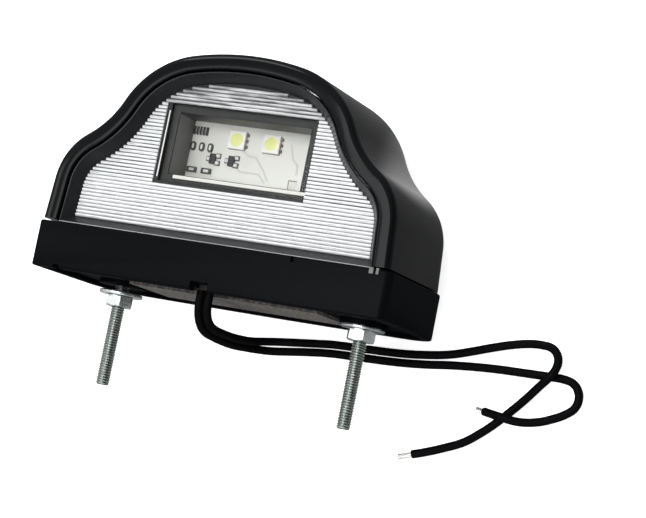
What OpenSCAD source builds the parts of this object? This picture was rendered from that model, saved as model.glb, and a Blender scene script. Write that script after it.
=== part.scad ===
// Number plate lamp: a bell-shaped cover on a tray-shaped base, held by two studs.
// X runs across the lamp, Y from the studs to the top of the bell, Z from the back to the lens.
// The lamp lies on its back. Its drawings start at the mounting face, so place() shifts them.

/* [Base] */
// Width of the base across both sides
base_w = 104; // [95:0.5:113]
// Height of the base from the mounting face to the cover
base_h = 12.5; // [11.5:0.5:15]
// Depth of the lamp from the back to the front of the rim
depth = 48; // [46:0.5:53]
// Wall of the base and the cover
wall = 2.2; // [1.8:0.1:2.6]
// Thickness of the base's floor
floor_t = 2.6; // [2:0.1:3.2]
// Radius of the base's upright front corners
base_front_r = 2.5; // [1:0.25:4]
// Radius of the base's upright rear corners
base_rear_r = 12; // [9:0.5:14]
// Rise of the curved back from its middle to its sides
back_sag = 3; // [2:0.25:5]
// Depth of the recess for the seal
recess_depth = 1.2; // [0.8:0.1:1.6]
// Width of the seal in that recess, between the studs
seal_w = 56; // [48:1:57]
// Length of that seal from its back to its front
seal_l = 24; // [18:0.5:24]
// Width of the rim round that recess
recess_rim = 3; // [2.6:0.1:4]
// Outer diameter of the bosses that hold the studs
boss_d = 13; // [12:0.5:15]
// Height of those bosses above the floor
boss_h = 4.5; // [4:0.25:5.5]

/* [Bell] */
// Distance of the cover's sides from the base's
cover_in = 1.0; // [0.3:0.1:1.2]
// Height of the bell above the mounting face
cover_h = 63.5; // [60:0.5:70]
// Radius of the flat arc across the top
crown_r = 78; // [70:1:90]
// Radius of the rounded shoulders beside that arc
corner_r = 26; // [22:0.5:30]
// Distance of their centres from the middle
corner_x = 10.5; // [7:0.5:12]
// Radius of the hollow necks below them
neck_r = 26; // [22:0.5:32]
// Radius of the lower corners
hip_r = 17; // [14:0.25:18.5]
// Distance of the lower corners' centres from the side
hip_in = 17.8; // [17:0.1:20]
// Height of those centres above the base
hip_up = 10.9; // [10:0.1:13]
// Radius between the cover's sides and its back
cover_rear_r = 10; // [8:0.5:13]

/* [Rim and lens] */
// Size of the rounded front edge
bevel = 2; // [1:0.25:2.5]
// Distance from the outline to the rim's inner edge
rim_in = 4.5; // [4.2:0.1:5.5]
// Thickness of the rim in front of the seal
rim_t = 5.5; // [4.5:0.1:6]
// Thickness of the seal between rim and lens
lens_seal_t = 0.5; // [0.3:0.1:0.8]
// Clearance round the lens
lens_fit = 0.2; // [0.1:0.05:0.3]
// Thickness of the lens flange
flange_t = 1.5; // [1.2:0.1:2]
// Distance from the rim's inner edge to the lens
groove = 0.4; // [0.3:0.05:0.7]
// Distance of the ribbed face behind the front of the rim
face_back = 4.4; // [3.5:0.1:4.9]
// Distance of the lens's raised border behind the front of the rim
border_back = 0.8; // [0.5:0.1:1.5]
// Width of the flat top of that border
border_top = 0.4; // [0.3:0.1:0.8]
// Width of the whole border with its slope down to the ribbed face
smooth_border = 2.6; // [1.8:0.1:3]
// Distance from one rib to the next
rib_pitch = 1.0; // [0.9:0.05:1.4]
// Height of the ribs
rib_h = 0.6; // [0.3:0.05:0.7]
// Thickness of the smooth window
pane_t = 0.8; // [0.6:0.05:1]
// Length of the tongue that the lens reaches down into the base
tongue_l = 3; // [2:0.25:4]
// Thickness of the bright reflector behind the ribs
reflector_t = 1; // [0.8:0.1:1.4]

/* [Light box and board] */
// Width of the light box
box_w = 43.4; // [41:0.2:46]
// Height of the light box
box_h = 21.3; // [20:0.1:23]
// Wall of the light box
box_wall = 2.3; // [2:0.1:2.6]
// Sideways place of the light box
box_x = 0.7; // [-1:0.1:1]
// Height of its middle above the mounting face
box_y = 38.5; // [37.5:0.1:39.5]
// Distance from the front of the light box back to the board
tunnel_depth = 9.4; // [8.5:0.1:9.8]
// Thickness of the circuit board
board_t = 1.6; // [1.2:0.1:2]
// Height of the board below the light box
board_below = 5.8; // [5:0.1:6.5]
// Clearance round the board
board_fit = 0.2; // [0.1:0.05:0.4]
// Space behind the board
board_gap = 1; // [0.8:0.1:1.5]
// Thickness of the carrier behind the board
carrier_t = 2.5; // [2:0.1:3]
// Height of the bosses below the carrier's foot
carrier_boss_h = 4; // [3.5:0.1:4.5]
// Distance from the middle to each of those bosses
carrier_boss_x = 18; // [14:0.5:20]
// Width of the lugs beside the light box
lug_w = 5; // [4.6:0.1:6]
// Width of one LED
led_w = 5; // [4:0.1:5.5]
// Height of one LED
led_h = 0.85; // [0.7:0.05:1.2]
// Diameter of the phosphor in an LED
phosphor_d = 3.8; // [3:0.1:4]
// Distance between the two LEDs
led_pitch = 10.3; // [9:0.1:11]
// Height of the LEDs above the middle of the light box
led_up = 4.4; // [3:0.1:5]

/* [Studs] */
// Diameter of the studs
stud_d = 4; // [3.5:0.1:5]
// Mean diameter of their thread, at which stud and nut meet
mean_d = 3.5; // [3:0.05:3.9]
// Distance between the studs
stud_pitch = 73; // [68:0.5:76]
// Distance of the studs from the back
stud_z = 22.5; // [21:0.25:24]
// Reach of the studs below the mounting face
stud_reach = 27.6; // [20:0.2:35]
// Width of a nut or a stud's head across its flats
hex_af = 7; // [6.6:0.1:8]
// Thickness of a stud's head
head_t = 2.8; // [2.4:0.1:3]
// Thickness of a nut
nut_t = 3.2; // [2.8:0.1:4]
// Outer diameter of a washer
washer_d = 12; // [9:0.25:12.5]
// Hole of a washer
washer_hole = 4.3; // [4.2:0.1:5.5]
// Thickness of a washer
washer_t = 1; // [0.6:0.1:1.2]
// Distance of the loose left washer from the base
left_slack = 1.6; // [0:0.1:3]

/* [Leads] */
// Diameter of a lead over its insulation
lead_d = 2.3; // [2:0.1:2.4]
// Diameter of a lead's bare strands
strand_d = 1.4; // [1:0.1:1.6]
// Distance of the leads from the front of the base
lead_back = 7.4; // [7.3:0.1:7.6]
// Width of the notch for the leads in the front wall
notch_w = 5.2; // [4.8:0.1:7]
// Height of that notch
notch_h = 2.3; // [1.6:0.1:3]

/* [Hidden] */
$fn = 48;

// The middle of the whole lamp, from stud tips to the top of the bell, lies at Y = 0.
mount_y = -(cover_h - stud_reach) / 2;

cover_w = base_w - 2 * cover_in;

// Heights above the mounting face
floor_top = recess_depth + floor_t;
boss_top = floor_top + boss_h;
foot_y = floor_top + carrier_boss_h;

// Distances in front of the back
box_gap = 0.1;
rim_back = depth - rim_t;
flange_front = rim_back - lens_seal_t;
flange_back = flange_front - flange_t;
face_z = depth - face_back;
border_z = depth - border_back;
pane_front = face_z;
pane_back = pane_front - pane_t;
box_front = pane_back - box_gap;
board_front = box_front - tunnel_depth;
board_back = board_front - board_t;
carrier_front = board_back - board_gap;
carrier_back = carrier_front - carrier_t;
lead_z = depth - lead_back;

// Insets from the bell's outline
flange_in = wall + lens_fit;
face_in = rim_in + groove;
rib_in = face_in + smooth_border;

// Board inside the light box
tunnel_w = box_w - 2 * box_wall;
tunnel_h = box_h - 2 * box_wall;
board_side = 1.1;
board_w = tunnel_w + 2 * board_side;
board_top = box_y + tunnel_h / 2 + board_side;
board_low = box_y - box_h / 2 - board_below;
pocket_w = board_w + 2 * board_fit;
inner_end = board_low + 3;

// Small parts on the board: [width, height, thickness]
chip_size = [3.6, 2.2, 1.1];
capacitor_size = [1.3, 2.3, 0.8];
transistor_size = [2, 2.9, 1];
resistor_size = [3, 1.5, 0.6];
contact_size = [0.7, 0.9, 0.4];
pin_size = [0.8, 0.5, 0.3];
pad_size = [2.3, 2.3, 0.1];
phosphor_t = 0.4;
contact_pitch = 1.6;
joint_d = 1.8;

// Their distances from the left and the right wall of the tunnel
chip_in = 2.4;
capacitors_in = [0.9, 3.5, 6.1];
transistors_in = [7.6, 13.2];
resistors_in = [1.8, 6.2];
pad_in = 6.7;

// Their heights, and how far left of the middle the two LEDs stand
chip_y = box_y + 5.7;
capacitors_y = box_y + 1.4;
transistors_y = box_y - 1.5;
resistors_y = box_y - 5;
pad_y = box_y - 5.8;
leds_left = 0.55;

// Carrier, its screws and the lugs of the light box
carrier_pad = 3;
carrier_boss_d = 7;
carrier_screw_d = 2.9;
carrier_head_d = 5.2;
carrier_head_t = 1.8;
pilot_low = recess_depth + 0.8;
foot_reach = 5;
foot_z = carrier_back - foot_reach;
gusset_t = 2;
gusset_l = 8;
gusset_h = 12;
lug_h = 8;
lug_t = 6;
lug_x = (box_w + lug_w) / 2;
module_screw_d = 2.2;
module_head_d = 4.2;
module_head_t = 1.5;

// Skirts and hooks that hold the cover on the base
skirt_l = 18;
skirt_h = 3;
skirt_t = 1.6;
skirt_fit = 0.15;
snap_l = 8;
snap_h = 1.6;
snap_out = 0.8;
snap_up = 0.4;
snap_fit = 0.2;

// Distance of the lens's tongue from the cover's sides
tongue_in = 8;

// Notch for prising the cover off, and drain in the rim
pry_x = 23.9;
pry_w = 10.9;
pry_h = 1.4;
pry_depth = 1.2;
drain_x = -44.5;
drain_w = 2;
drain_h = 1;

// Seal under the base, and the bush and gap for the leads
seal_back = 0.2;
lead_x = -1.65;
notch_x = -0.4;
lead_gap = 5;
grommet_low = 0.9;
neck_over = 1;
collar_over = 1.7;
collar_t = 1;

// Bare strands and the rounded tip of a stud
strand_l_a = 4;
strand_l_b = 2.8;
stud_tip = 0.5;

// Steps along the arcs of the bell, from the lower corner to the top
hip_steps = 9;
neck_steps = 5;
corner_steps = 8;
crown_steps = 3;
round_steps = 6;
back_columns = 8;

function arc(centre, r, from, to, steps, first = 1) =
    [for (i = [first:steps]) let (a = from + (to - from) * i / steps) centre + r * [cos(a), sin(a)]];
function angle_of(v) = atan2(v[1], v[0]);
function mirrored(points) = [for (i = [len(points) - 1:-1:0]) [-points[i][0], points[i][1]]];
function without_last(points) = [for (i = [0:len(points) - 2]) points[i]];

// Right half of the bell's outline, moved inwards by d and reaching down to the height low.
// Each arc touches the next: hip outwards, neck inwards, corner and crown outwards.
function bell_half(d, low) =
    let (
        crown = [0, cover_h - crown_r],
        corner = [corner_x, crown[1] + sqrt(pow(crown_r - corner_r, 2) - pow(corner_x, 2))],
        hip = [cover_w / 2 - hip_in, base_h + hip_up],
        to_corner = corner_r + neck_r,
        to_hip = hip_r + neck_r,
        span = norm(hip - corner),
        u = (hip - corner) / span,
        along = (pow(to_corner, 2) - pow(to_hip, 2) + pow(span, 2)) / (2 * span),
        neck = corner + u * along + [-u[1], u[0]] * sqrt(pow(to_corner, 2) - pow(along, 2)),
        foot = [cover_w / 2, base_h],
        reach = norm(hip - foot),
        lean = angle_of(hip - foot) - asin(hip_r / reach),
        touch = foot + sqrt(pow(reach, 2) - pow(hip_r, 2)) * [cos(lean), sin(lean)],
        low_x = foot[0] - d / sin(lean) - (base_h - low) / tan(lean)
    )
    concat(
        [[low_x, low]],
        arc(hip, hip_r - d, angle_of(touch - hip), angle_of(neck - hip), hip_steps, 0),
        arc(neck, neck_r + d, angle_of(hip - neck), angle_of(corner - neck), neck_steps),
        arc(corner, corner_r - d, angle_of(neck - corner), angle_of(corner - crown), corner_steps),
        arc(crown, crown_r - d, angle_of(corner - crown), 90, crown_steps)
    );

function bell(d, low = base_h) =
    let (half = bell_half(d, low)) concat(without_last(half), [half[len(half) - 1]], mirrored(without_last(half)));

// Height of the curved back at x, moved inwards by d
function back_radius(half_w) = (pow(half_w, 2) + pow(back_sag, 2)) / (2 * back_sag);
function back_z(x, d = 0) = let (r = back_radius(cover_w / 2)) r - sqrt(pow(r - d, 2) - pow(x, 2));

// Plan of the base: straight front and sides, round corners and a curved back, moved inwards by d
function plan(d) =
    let (
        half_w = base_w / 2,
        r = back_radius(half_w),
        front_r = max(base_front_r - d, 0.05),
        rear_r = max(base_rear_r - d, 1),
        side = half_w - d,
        rear_z = r - sqrt(pow(r - d - rear_r, 2) - pow(side - rear_r, 2)),
        meet = atan2(rear_z - r, side - rear_r),
        half = concat(
            arc([side - front_r, depth - d - front_r], front_r, 90, 0, 4, 0),
            arc([side - rear_r, rear_z], rear_r, 0, meet, 8, 0),
            arc([0, r], r - d, meet, -90, 8)
        )
    )
    concat(without_last(half), [half[len(half) - 1]], mirrored(without_last(half)));

// A plan drawn in X and Z, standing from one height to another
module standing(from, to) translate([0, to, 0]) rotate([90, 0, 0]) linear_extrude(to - from) children();

// An outline drawn in X and Y, reaching from one depth to another
module facing(from, to) translate([0, 0, from]) linear_extrude(to - from) children();

module block(x, y, z) translate([x[0], y[0], z[0]]) cube([x[1] - x[0], y[1] - y[0], z[1] - z[0]]);

// A round bar along Y
module upright_bar(d, x, z, from, to) translate([x, to, z]) rotate([90, 0, 0]) cylinder(d = d, h = to - from);

// A round bar along Z
module level_bar(d, x, y, from, to) translate([x, y, from]) cylinder(d = d, h = to - from);

// A hexagon along Y, with two flats facing up and down
module hexagon(af, x, from, to)
    translate([x, to, stud_z]) rotate([90, 0, 0]) cylinder(d = af / cos(30), h = to - from, $fn = 6);

module place() translate([0, mount_y, 0]) children();

// A closed skin over rings of the bell's outline. Each ring is [inset, depth, follow], and follow
// says how much of the curved back its depth takes on. The last ring is closed by the back itself.
module bell_solid(rings, low, back_in) {
    half = len(bell_half(0, low));
    count = 2 * half - 1;
    last = len(rings) - 1;
    columns = back_columns;
    skin = [
        for (ring = rings) for (p = bell(ring[0], low)) [p[0], p[1], ring[1] + ring[2] * back_z(p[0], back_in)]
    ];
    end = bell_half(rings[last][0], low);
    inside = [
        for (j = [0:half - 2]) for (k = [1:columns - 1])
            let (x = end[j][0] * (1 - 2 * k / columns)) [x, end[j][1], back_z(x, back_in)]
    ];
    start = len(skin);
    function at(j, k) =
        k == 0 ? last * count + j : k == columns ? last * count + count - 1 - j : start + j * (columns - 1) + k - 1;
    sides = [
        for (r = [0:last - 1]) for (i = [0:count - 2]) each [
            [r * count + i, r * count + i + 1, (r + 1) * count + i + 1],
            [r * count + i, (r + 1) * count + i + 1, (r + 1) * count + i]
        ]
    ];
    front = [[for (i = [count - 1:-1:0]) i]];
    rear = [
        for (j = [0:half - 3]) for (k = [0:columns - 1]) each [
            [at(j, k), at(j + 1, k), at(j + 1, k + 1)],
            [at(j, k), at(j + 1, k + 1), at(j, k + 1)]
        ]
    ];
    top = [for (k = [0:columns - 1]) [at(half - 2, k), last * count + half - 1, at(half - 2, k + 1)]];
    bottom = [concat(
        [for (r = [0:last]) r * count],
        [for (k = [1:columns - 1]) at(0, k)],
        [for (r = [last:-1:0]) r * count + count - 1]
    )];
    polyhedron(concat(skin, inside), concat(sides, front, rear, top, bottom), convexity = 8);
}

// A solid between flat outlines of the bell, from front to back. Each ring is [inset, foot, depth].
module bell_loft(rings) {
    count = len(bell(0));
    last = len(rings) - 1;
    skin = [for (ring = rings) for (p = bell(ring[0], ring[1])) [p[0], p[1], ring[2]]];
    sides = [
        for (r = [0:last - 1]) for (i = [0:count - 1]) let (j = (i + 1) % count) each [
            [r * count + i, r * count + j, (r + 1) * count + j],
            [r * count + i, (r + 1) * count + j, (r + 1) * count + i]
        ]
    ];
    ends = [[for (i = [count - 1:-1:0]) i], [for (i = [0:count - 1]) last * count + i]];
    polyhedron(skin, concat(sides, ends), convexity = 8);
}

// Rings that round an edge of the cover at its back
function rear_rings(inset, r) =
    [for (i = [0:round_steps]) let (a = 90 * i / round_steps) [inset + r * (1 - cos(a)), r * (1 - sin(a)), 1]];

// Base: tray with a floor, a shallow recess below it, and bosses for the studs and the carrier
module base() {
    color([0.09, 0.1, 0.11]) difference() {
        union() {
            difference() {
                standing(0, base_h) polygon(plan(0));
                standing(-1, recess_depth) polygon(plan(recess_rim));
                standing(floor_top, base_h + 1) polygon(plan(wall));
            }
            for (side = [-1, 1]) {
                upright_bar(boss_d, side * stud_pitch / 2, stud_z, 0, boss_top);
                upright_bar(carrier_boss_d, box_x + side * carrier_boss_x, foot_z, recess_depth, foot_y);
            }
        }
        for (side = [-1, 1]) {
            upright_bar(stud_d, side * stud_pitch / 2, stud_z, -1, boss_top + 1);
            hexagon(hex_af, side * stud_pitch / 2, boss_top - head_t, boss_top + 1);
            upright_bar(carrier_screw_d, box_x + side * carrier_boss_x, foot_z, pilot_low, foot_y + 1);
            snap(side, snap_fit);
        }
        grommet_neck(-1, base_h);
        block([notch_x - notch_w / 2, notch_x + notch_w / 2], [-1, notch_h], [lead_z, depth + 1]);
        block([pry_x, pry_x + pry_w], [base_h - pry_h, base_h + 1], [depth - pry_depth, depth + 1]);
        block([drain_x, drain_x + drain_w], [-1, drain_h], [depth - recess_rim - 1, depth + 1]);
    }
}

// A block beside the wall of the base, from x to x measured from its outside, to either side
module beside(side, from, to, y, z)
    mirror([side < 0 ? 1 : 0, 0, 0]) block([base_w / 2 - from, base_w / 2 - to], y, z);

// Hook of the cover's skirt, or with a clearance the pocket for it in the base's wall
module snap(side, fit) {
    y = base_h - skirt_h + snap_up;
    skirt_in = wall + skirt_fit;
    beside(
        side, skirt_in + skirt_t / 2, skirt_in - snap_out - fit,
        [y - fit, y + snap_h + fit],
        [stud_z - snap_l / 2 - fit, stud_z + snap_l / 2 + fit]
    );
}

module base_seal() {
    color([0.5, 0.46, 0.42]) block(
        [-seal_w / 2, seal_w / 2],
        [seal_back, recess_depth],
        [stud_z - seal_l / 2, stud_z + seal_l / 2]
    );
}

module cover() {
    outer = concat(
        [for (i = [0:3]) let (a = 30 * i) [bevel * (1 - sin(a)), depth - bevel * (1 - cos(a)), 0]],
        rear_rings(0, cover_rear_r)
    );
    inner = concat(
        [[rim_in, depth + 1, 0], [rim_in, rim_back, 0], [wall, rim_back, 0]],
        rear_rings(wall, cover_rear_r - wall)
    );
    color([0.1, 0.11, 0.12]) union() {
        difference() {
            bell_solid(outer, base_h, 0);
            bell_solid(inner, base_h - 1, wall);
        }
        for (side = [-1, 1]) {
            beside(
                side, wall + skirt_fit + skirt_t, wall + skirt_fit,
                [base_h - skirt_h, base_h + skirt_t],
                [stud_z - skirt_l / 2, stud_z + skirt_l / 2]
            );
            snap(side, 0);
        }
    }
}

module window_hole(fit, from, to)
    block(
        [box_x - box_w / 2 - fit, box_x + box_w / 2 + fit],
        [box_y - box_h / 2 - fit, box_y + box_h / 2 + fit],
        [from, to]
    );

// Ribs of the lens: one ridge after another from the base to the top, cut to the bell
module ribs() {
    count = floor((cover_h - base_h) / rib_pitch);
    ridges = concat(
        [[base_h, -0.2]],
        [for (i = [0:count - 1]) each [
            [base_h + i * rib_pitch, 0],
            [base_h + (i + 0.5) * rib_pitch, rib_h]
        ]],
        [[base_h + count * rib_pitch, 0], [base_h + count * rib_pitch, -0.2]]
    );
    half = cover_w / 2;
    intersection() {
        translate([-half, 0, face_z]) rotate([90, 0, 90]) linear_extrude(2 * half) polygon(ridges);
        facing(face_z - 1, face_z + 2) polygon(bell(rib_in, base_h + smooth_border));
    }
}

module lens() {
    half = cover_w / 2 - tongue_in;
    top_in = face_in + border_top;
    color([0.88, 0.9, 0.92]) union() {
        difference() {
            union() {
                facing(flange_back, flange_front) polygon(bell(flange_in));
                facing(flange_back, border_z) polygon(bell(face_in));
            }
            bell_loft([
                [top_in, base_h + border_top, depth],
                [top_in, base_h + border_top, border_z],
                [rib_in, base_h + smooth_border, face_z]
            ]);
            window_hole(board_fit, flange_back - 1, pane_back);
        }
        difference() {
            ribs();
            window_hole(0, pane_front, depth);
        }
        difference() {
            block([-half, half], [base_h - tongue_l, base_h], [flange_back, flange_front]);
            block([lead_x - lead_gap, lead_x + lead_gap], [0, base_h], [0, flange_front - 1]);
        }
    }
}

// Flat rubber ring between the rim and the flange of the lens
module lens_seal() {
    color([0.05, 0.05, 0.05]) difference() {
        facing(flange_front, rim_back) polygon(bell(flange_in));
        facing(flange_front - 1, rim_back + 1) polygon(bell(rim_in, base_h - 1));
    }
}

module reflector() {
    color([0.85, 0.86, 0.88]) difference() {
        facing(flange_back - reflector_t, flange_back) polygon(bell(flange_in, base_h + smooth_border));
        window_hole(board_fit, 0, depth);
    }
}

// Light box: tunnel from the window back to the board, with a pocket for it and a lug on each side
module light_box() {
    color([0.12, 0.13, 0.14]) difference() {
        union() {
            window_hole(0, carrier_front, box_front);
            block(
                [box_x - box_w / 2 - lug_w, box_x + box_w / 2 + lug_w],
                [box_y - lug_h / 2, box_y + lug_h / 2],
                [carrier_front, carrier_front + lug_t]
            );
        }
        block(
            [box_x - tunnel_w / 2, box_x + tunnel_w / 2],
            [box_y - tunnel_h / 2, box_y + tunnel_h / 2],
            [0, depth]
        );
        block([box_x - pocket_w / 2, box_x + pocket_w / 2], [0, board_top + board_fit], [0, board_front]);
        for (side = [-1, 1]) level_bar(module_screw_d, box_x + side * lug_x, box_y, 0, carrier_front + lug_t - 1);
    }
}

module circuit_board() {
    color([0.83, 0.86, 0.84])
        block([box_x - board_w / 2, box_x + board_w / 2], [board_low, board_top], [board_back, board_front]);
}

// Carrier: plate behind the board with four pads, a foot on two bosses and two gussets
module board_carrier() {
    half = box_w / 2 + lug_w;
    color([0.16, 0.17, 0.18]) difference() {
        union() {
            block([box_x - half, box_x + half], [foot_y, box_y + box_h / 2], [carrier_back, carrier_front]);
            block([box_x - half, box_x + half], [foot_y, foot_y + carrier_t], [foot_z - foot_reach, carrier_front]);
            for (side = [-1, 1]) {
                for (y = [board_low, board_top - carrier_pad])
                    translate([box_x + side * (board_w - carrier_pad) / 2, y, 0])
                        block([-carrier_pad / 2, carrier_pad / 2], [0, carrier_pad], [carrier_front, board_back]);
                translate([box_x + side * (half - gusset_t / 2), foot_y + carrier_t, carrier_back]) gusset();
            }
        }
        for (side = [-1, 1]) {
            upright_bar(carrier_screw_d, box_x + side * carrier_boss_x, foot_z, 0, cover_h);
            level_bar(module_screw_d, box_x + side * lug_x, box_y, 0, depth);
        }
    }
}

// Triangular web between foot and plate
module gusset()
    rotate([0, -90, 0]) linear_extrude(gusset_t, center = true) polygon([[0, 0], [-gusset_l, 0], [0, gusset_h]]);

module carrier_screws() {
    top = foot_y + carrier_t;
    color([0.6, 0.6, 0.62]) for (side = [-1, 1]) {
        upright_bar(carrier_screw_d, box_x + side * carrier_boss_x, foot_z, pilot_low, top);
        upright_bar(carrier_head_d, box_x + side * carrier_boss_x, foot_z, top, top + carrier_head_t);
    }
}

module module_screws() {
    color([0.6, 0.6, 0.62]) for (side = [-1, 1]) {
        level_bar(module_screw_d, box_x + side * lug_x, box_y, carrier_back, carrier_front + lug_t - 1);
        level_bar(module_head_d, box_x + side * lug_x, box_y, carrier_back - module_head_t, carrier_back);
    }
}

function led_place(side) = [box_x - leds_left + side * led_pitch / 2, box_y + led_up];

module led(side) {
    p = led_place(side);
    color([0.93, 0.93, 0.86]) difference() {
        translate([p[0], p[1], 0])
            block([-led_w / 2, led_w / 2], [-led_w / 2, led_w / 2], [board_front, board_front + led_h]);
        level_bar(phosphor_d, p[0], p[1], board_front + led_h - phosphor_t, depth);
    }
}

module phosphor(side) {
    p = led_place(side);
    color([0.87, 0.9, 0.55])
        level_bar(phosphor_d, p[0], p[1], board_front + led_h - phosphor_t, board_front + led_h);
}

// Tinned tabs, three beside each LED
module led_contacts() {
    color([0.7, 0.7, 0.7]) for (side = [-1, 1], row = [-1, 0, 1]) {
        p = led_place(side);
        on_board(p[0] + (led_w + contact_size[0]) / 2, p[1] + row * contact_pitch, contact_size);
    }
}

// A part on the board with its middle at x and y
module on_board(x, y, size, low = 0)
    block(
        [x - size[0] / 2, x + size[0] / 2],
        [y - size[1] / 2, y + size[1] / 2],
        [board_front + low, board_front + low + size[2]]
    );

function from_left(x) = box_x - tunnel_w / 2 + x;

module driver_chip() color([0.25, 0.26, 0.26]) on_board(from_left(chip_in), chip_y, chip_size);

module capacitors() {
    color([0.45, 0.44, 0.42]) for (x = capacitors_in) on_board(from_left(x), capacitors_y, capacitor_size);
}

module transistors() {
    color([0.2, 0.2, 0.21]) for (x = transistors_in) on_board(from_left(x), transistors_y, transistor_size, 0.1);
}

module transistor_leads() {
    reach = (transistor_size[0] + pin_size[0]) / 2;
    color([0.8, 0.8, 0.8]) for (x = transistors_in) {
        for (y = [-0.95, 0.95]) on_board(from_left(x) + reach, transistors_y + y, pin_size);
        on_board(from_left(x) - reach, transistors_y, pin_size);
    }
}

module resistors() {
    color([0.3, 0.3, 0.3]) for (x = resistors_in) on_board(from_left(x), resistors_y, resistor_size);
}

module test_pad() color([0.9, 0.9, 0.9]) on_board(box_x + tunnel_w / 2 - pad_in, pad_y, pad_size);

module solder_joints() {
    color([0.72, 0.72, 0.74]) for (side = [-1, 1])
        level_bar(joint_d, lead_x + side * lead_d / 2, inner_end + joint_d / 2, board_front, board_front + 1);
}

// An oval along Y that holds both leads side by side
module oval(w, h, from, to) {
    reach = (w - h) / 2;
    for (side = [-1, 1]) upright_bar(h, lead_x + side * reach, lead_z, from, to);
    block([lead_x - reach, lead_x + reach], [from, to], [lead_z - h / 2, lead_z + h / 2]);
}

module grommet_neck(from, to) oval(2 * lead_d + neck_over, lead_d + neck_over, from, to);

module grommet() {
    color([0.06, 0.06, 0.06]) {
        grommet_neck(grommet_low, floor_top);
        oval(2 * lead_d + collar_over, lead_d + collar_over, floor_top, floor_top + collar_t);
    }
}

// Frames along a route: the direction at each point, and a normal carried from one to the next
function unit(v) = v / norm(v);
function directions(p) = [
    for (i = [0:len(p) - 1]) unit(p[min(i + 1, len(p) - 1)] - p[max(i - 1, 0)])
];
function carried(t, n, i = 0) =
    i == len(t) ? [] : let (m = unit(n - (n * t[i]) * t[i])) concat([m], carried(t, m, i + 1));

// A round tube with eight sides along a route
module tube(route, d) {
    sides = 8;
    t = directions(route);
    n = carried(t, [1, 0, 0]);
    count = len(route);
    skin = [
        for (i = [0:count - 1]) for (k = [0:sides - 1])
            let (a = 360 * k / sides) route[i] + d / 2 * (n[i] * cos(a) + cross(t[i], n[i]) * sin(a))
    ];
    walls = [
        for (i = [0:count - 2]) for (k = [0:sides - 1]) let (m = (k + 1) % sides) each [
            [i * sides + k, (i + 1) * sides + k, (i + 1) * sides + m],
            [i * sides + k, (i + 1) * sides + m, i * sides + m]
        ]
    ];
    ends = [[for (k = [0:sides - 1]) k], [for (k = [sides - 1:-1:0]) (count - 1) * sides + k]];
    polyhedron(skin, concat(walls, ends), convexity = 10);
}

// Routes of the leads, measured from the mounting face. Lead A passes over lead B at its turn,
// and lead B lies over lead A near its end.
route_a = [
    [-0.4, 0.9, 40.6], [-0.4, -2, 40.6], [-0.4, -5, 39.8], [-0.4, -7.2, 37.4], [-0.4, -8.2, 34],
    [-0.6, -8.5, 29], [-1, -8.6, 22], [-1, -8.4, 15], [-0.6, -8, 9.5], [1, -7.2, 5],
    [4.2, -6.4, 2.2], [8.5, -5.8, 1.2], [14, -5.2, 1.2], [20, -4.6, 1.2], [30, -4.3, 1.2],
    [40, -3.9, 1.2], [47, -3.2, 1.2], [54, -2, 1.2], [60, -0.2, 1.2], [65.3, 1.6, 1.2],
    [71, 3.3, 1.2], [76, 4.3, 1.3], [79.5, 4.4, 1.6], [81.7, 4.1, 1.9], [83.6, 2.8, 2.4],
    [84.6, 0.7, 3], [84.5, -1.4, 3.5], [83.5, -3.5, 3.8], [81, -6.4, 3.2], [77.3, -10.4, 1.7],
    [72.5, -15.6, 1.2], [69.3, -18.9, 1.2], [66, -21.8, 1.2], [62.5, -24.4, 1.2], [57, -27, 1.2],
    [52.5, -28.8, 1.2], [48.7, -30.1, 1.2]
];
route_b = [
    [-2.9, 0.9, 40.6], [-2.9, -2, 40.6], [-2.9, -5, 39.9], [-2.9, -7.6, 37.8], [-2.9, -9.2, 34.4],
    [-2.8, -9.9, 29], [-2.8, -10.3, 22], [-2.8, -10.3, 15], [-2.4, -10, 9.5], [-0.8, -9.7, 5],
    [2.4, -9.3, 2.2], [7, -8.6, 1.2], [13, -7.8, 1.2], [20, -7.1, 1.2], [30, -6.8, 1.2],
    [40, -6.4, 1.2], [48, -5.7, 1.2], [55, -4.8, 1.2], [66, -3.9, 1.2], [76, -3.6, 1.2],
    [82, -3.5, 1.2], [86.8, -3.6, 1.2], [89.1, -4.2, 1.2], [90.8, -5.9, 1.2], [91.4, -8.2, 1.2],
    [90.8, -10.5, 1.2], [89.1, -12.2, 1.2], [85.4, -14.3, 1.2], [81, -16, 1.8], [76.5, -16.7, 3.1],
    [72.2, -16.3, 3.8], [69.4, -15.9, 3.1], [66.7, -15.5, 1.9]
];

function inner_route(x) = [
    [x, floor_top + collar_t, lead_z], [x, floor_top + 1.6, lead_z], [x, floor_top + 3.4, lead_z - 0.8],
    [x, base_h - 3.3, lead_z - 2.1],
    [x, base_h, lead_z - 3.2], [x, (base_h + inner_end) / 2, (lead_z + board_front) / 2 + 0.2],
    [x, inner_end - 2, board_front + lead_d / 2 + 0.4], [x, inner_end, board_front + lead_d / 2]
];

module inner_leads() {
    color([0.05, 0.05, 0.06]) for (side = [-1, 1]) tube(inner_route(lead_x + side * lead_d / 2), lead_d);
}

module lead_a() color([0.06, 0.06, 0.07]) tube(route_a, lead_d);

module lead_b() color([0.06, 0.06, 0.07]) tube(route_b, lead_d);

// Bare strands, straight on from the end of a lead
module strands(route, l) {
    last = route[len(route) - 1];
    color([0.75, 0.74, 0.72]) tube([last, last + l * unit(last - route[len(route) - 2])], strand_d);
}

module lead_a_end() strands(route_a, strand_l_a);

module lead_b_end() strands(route_b, strand_l_b);

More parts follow.
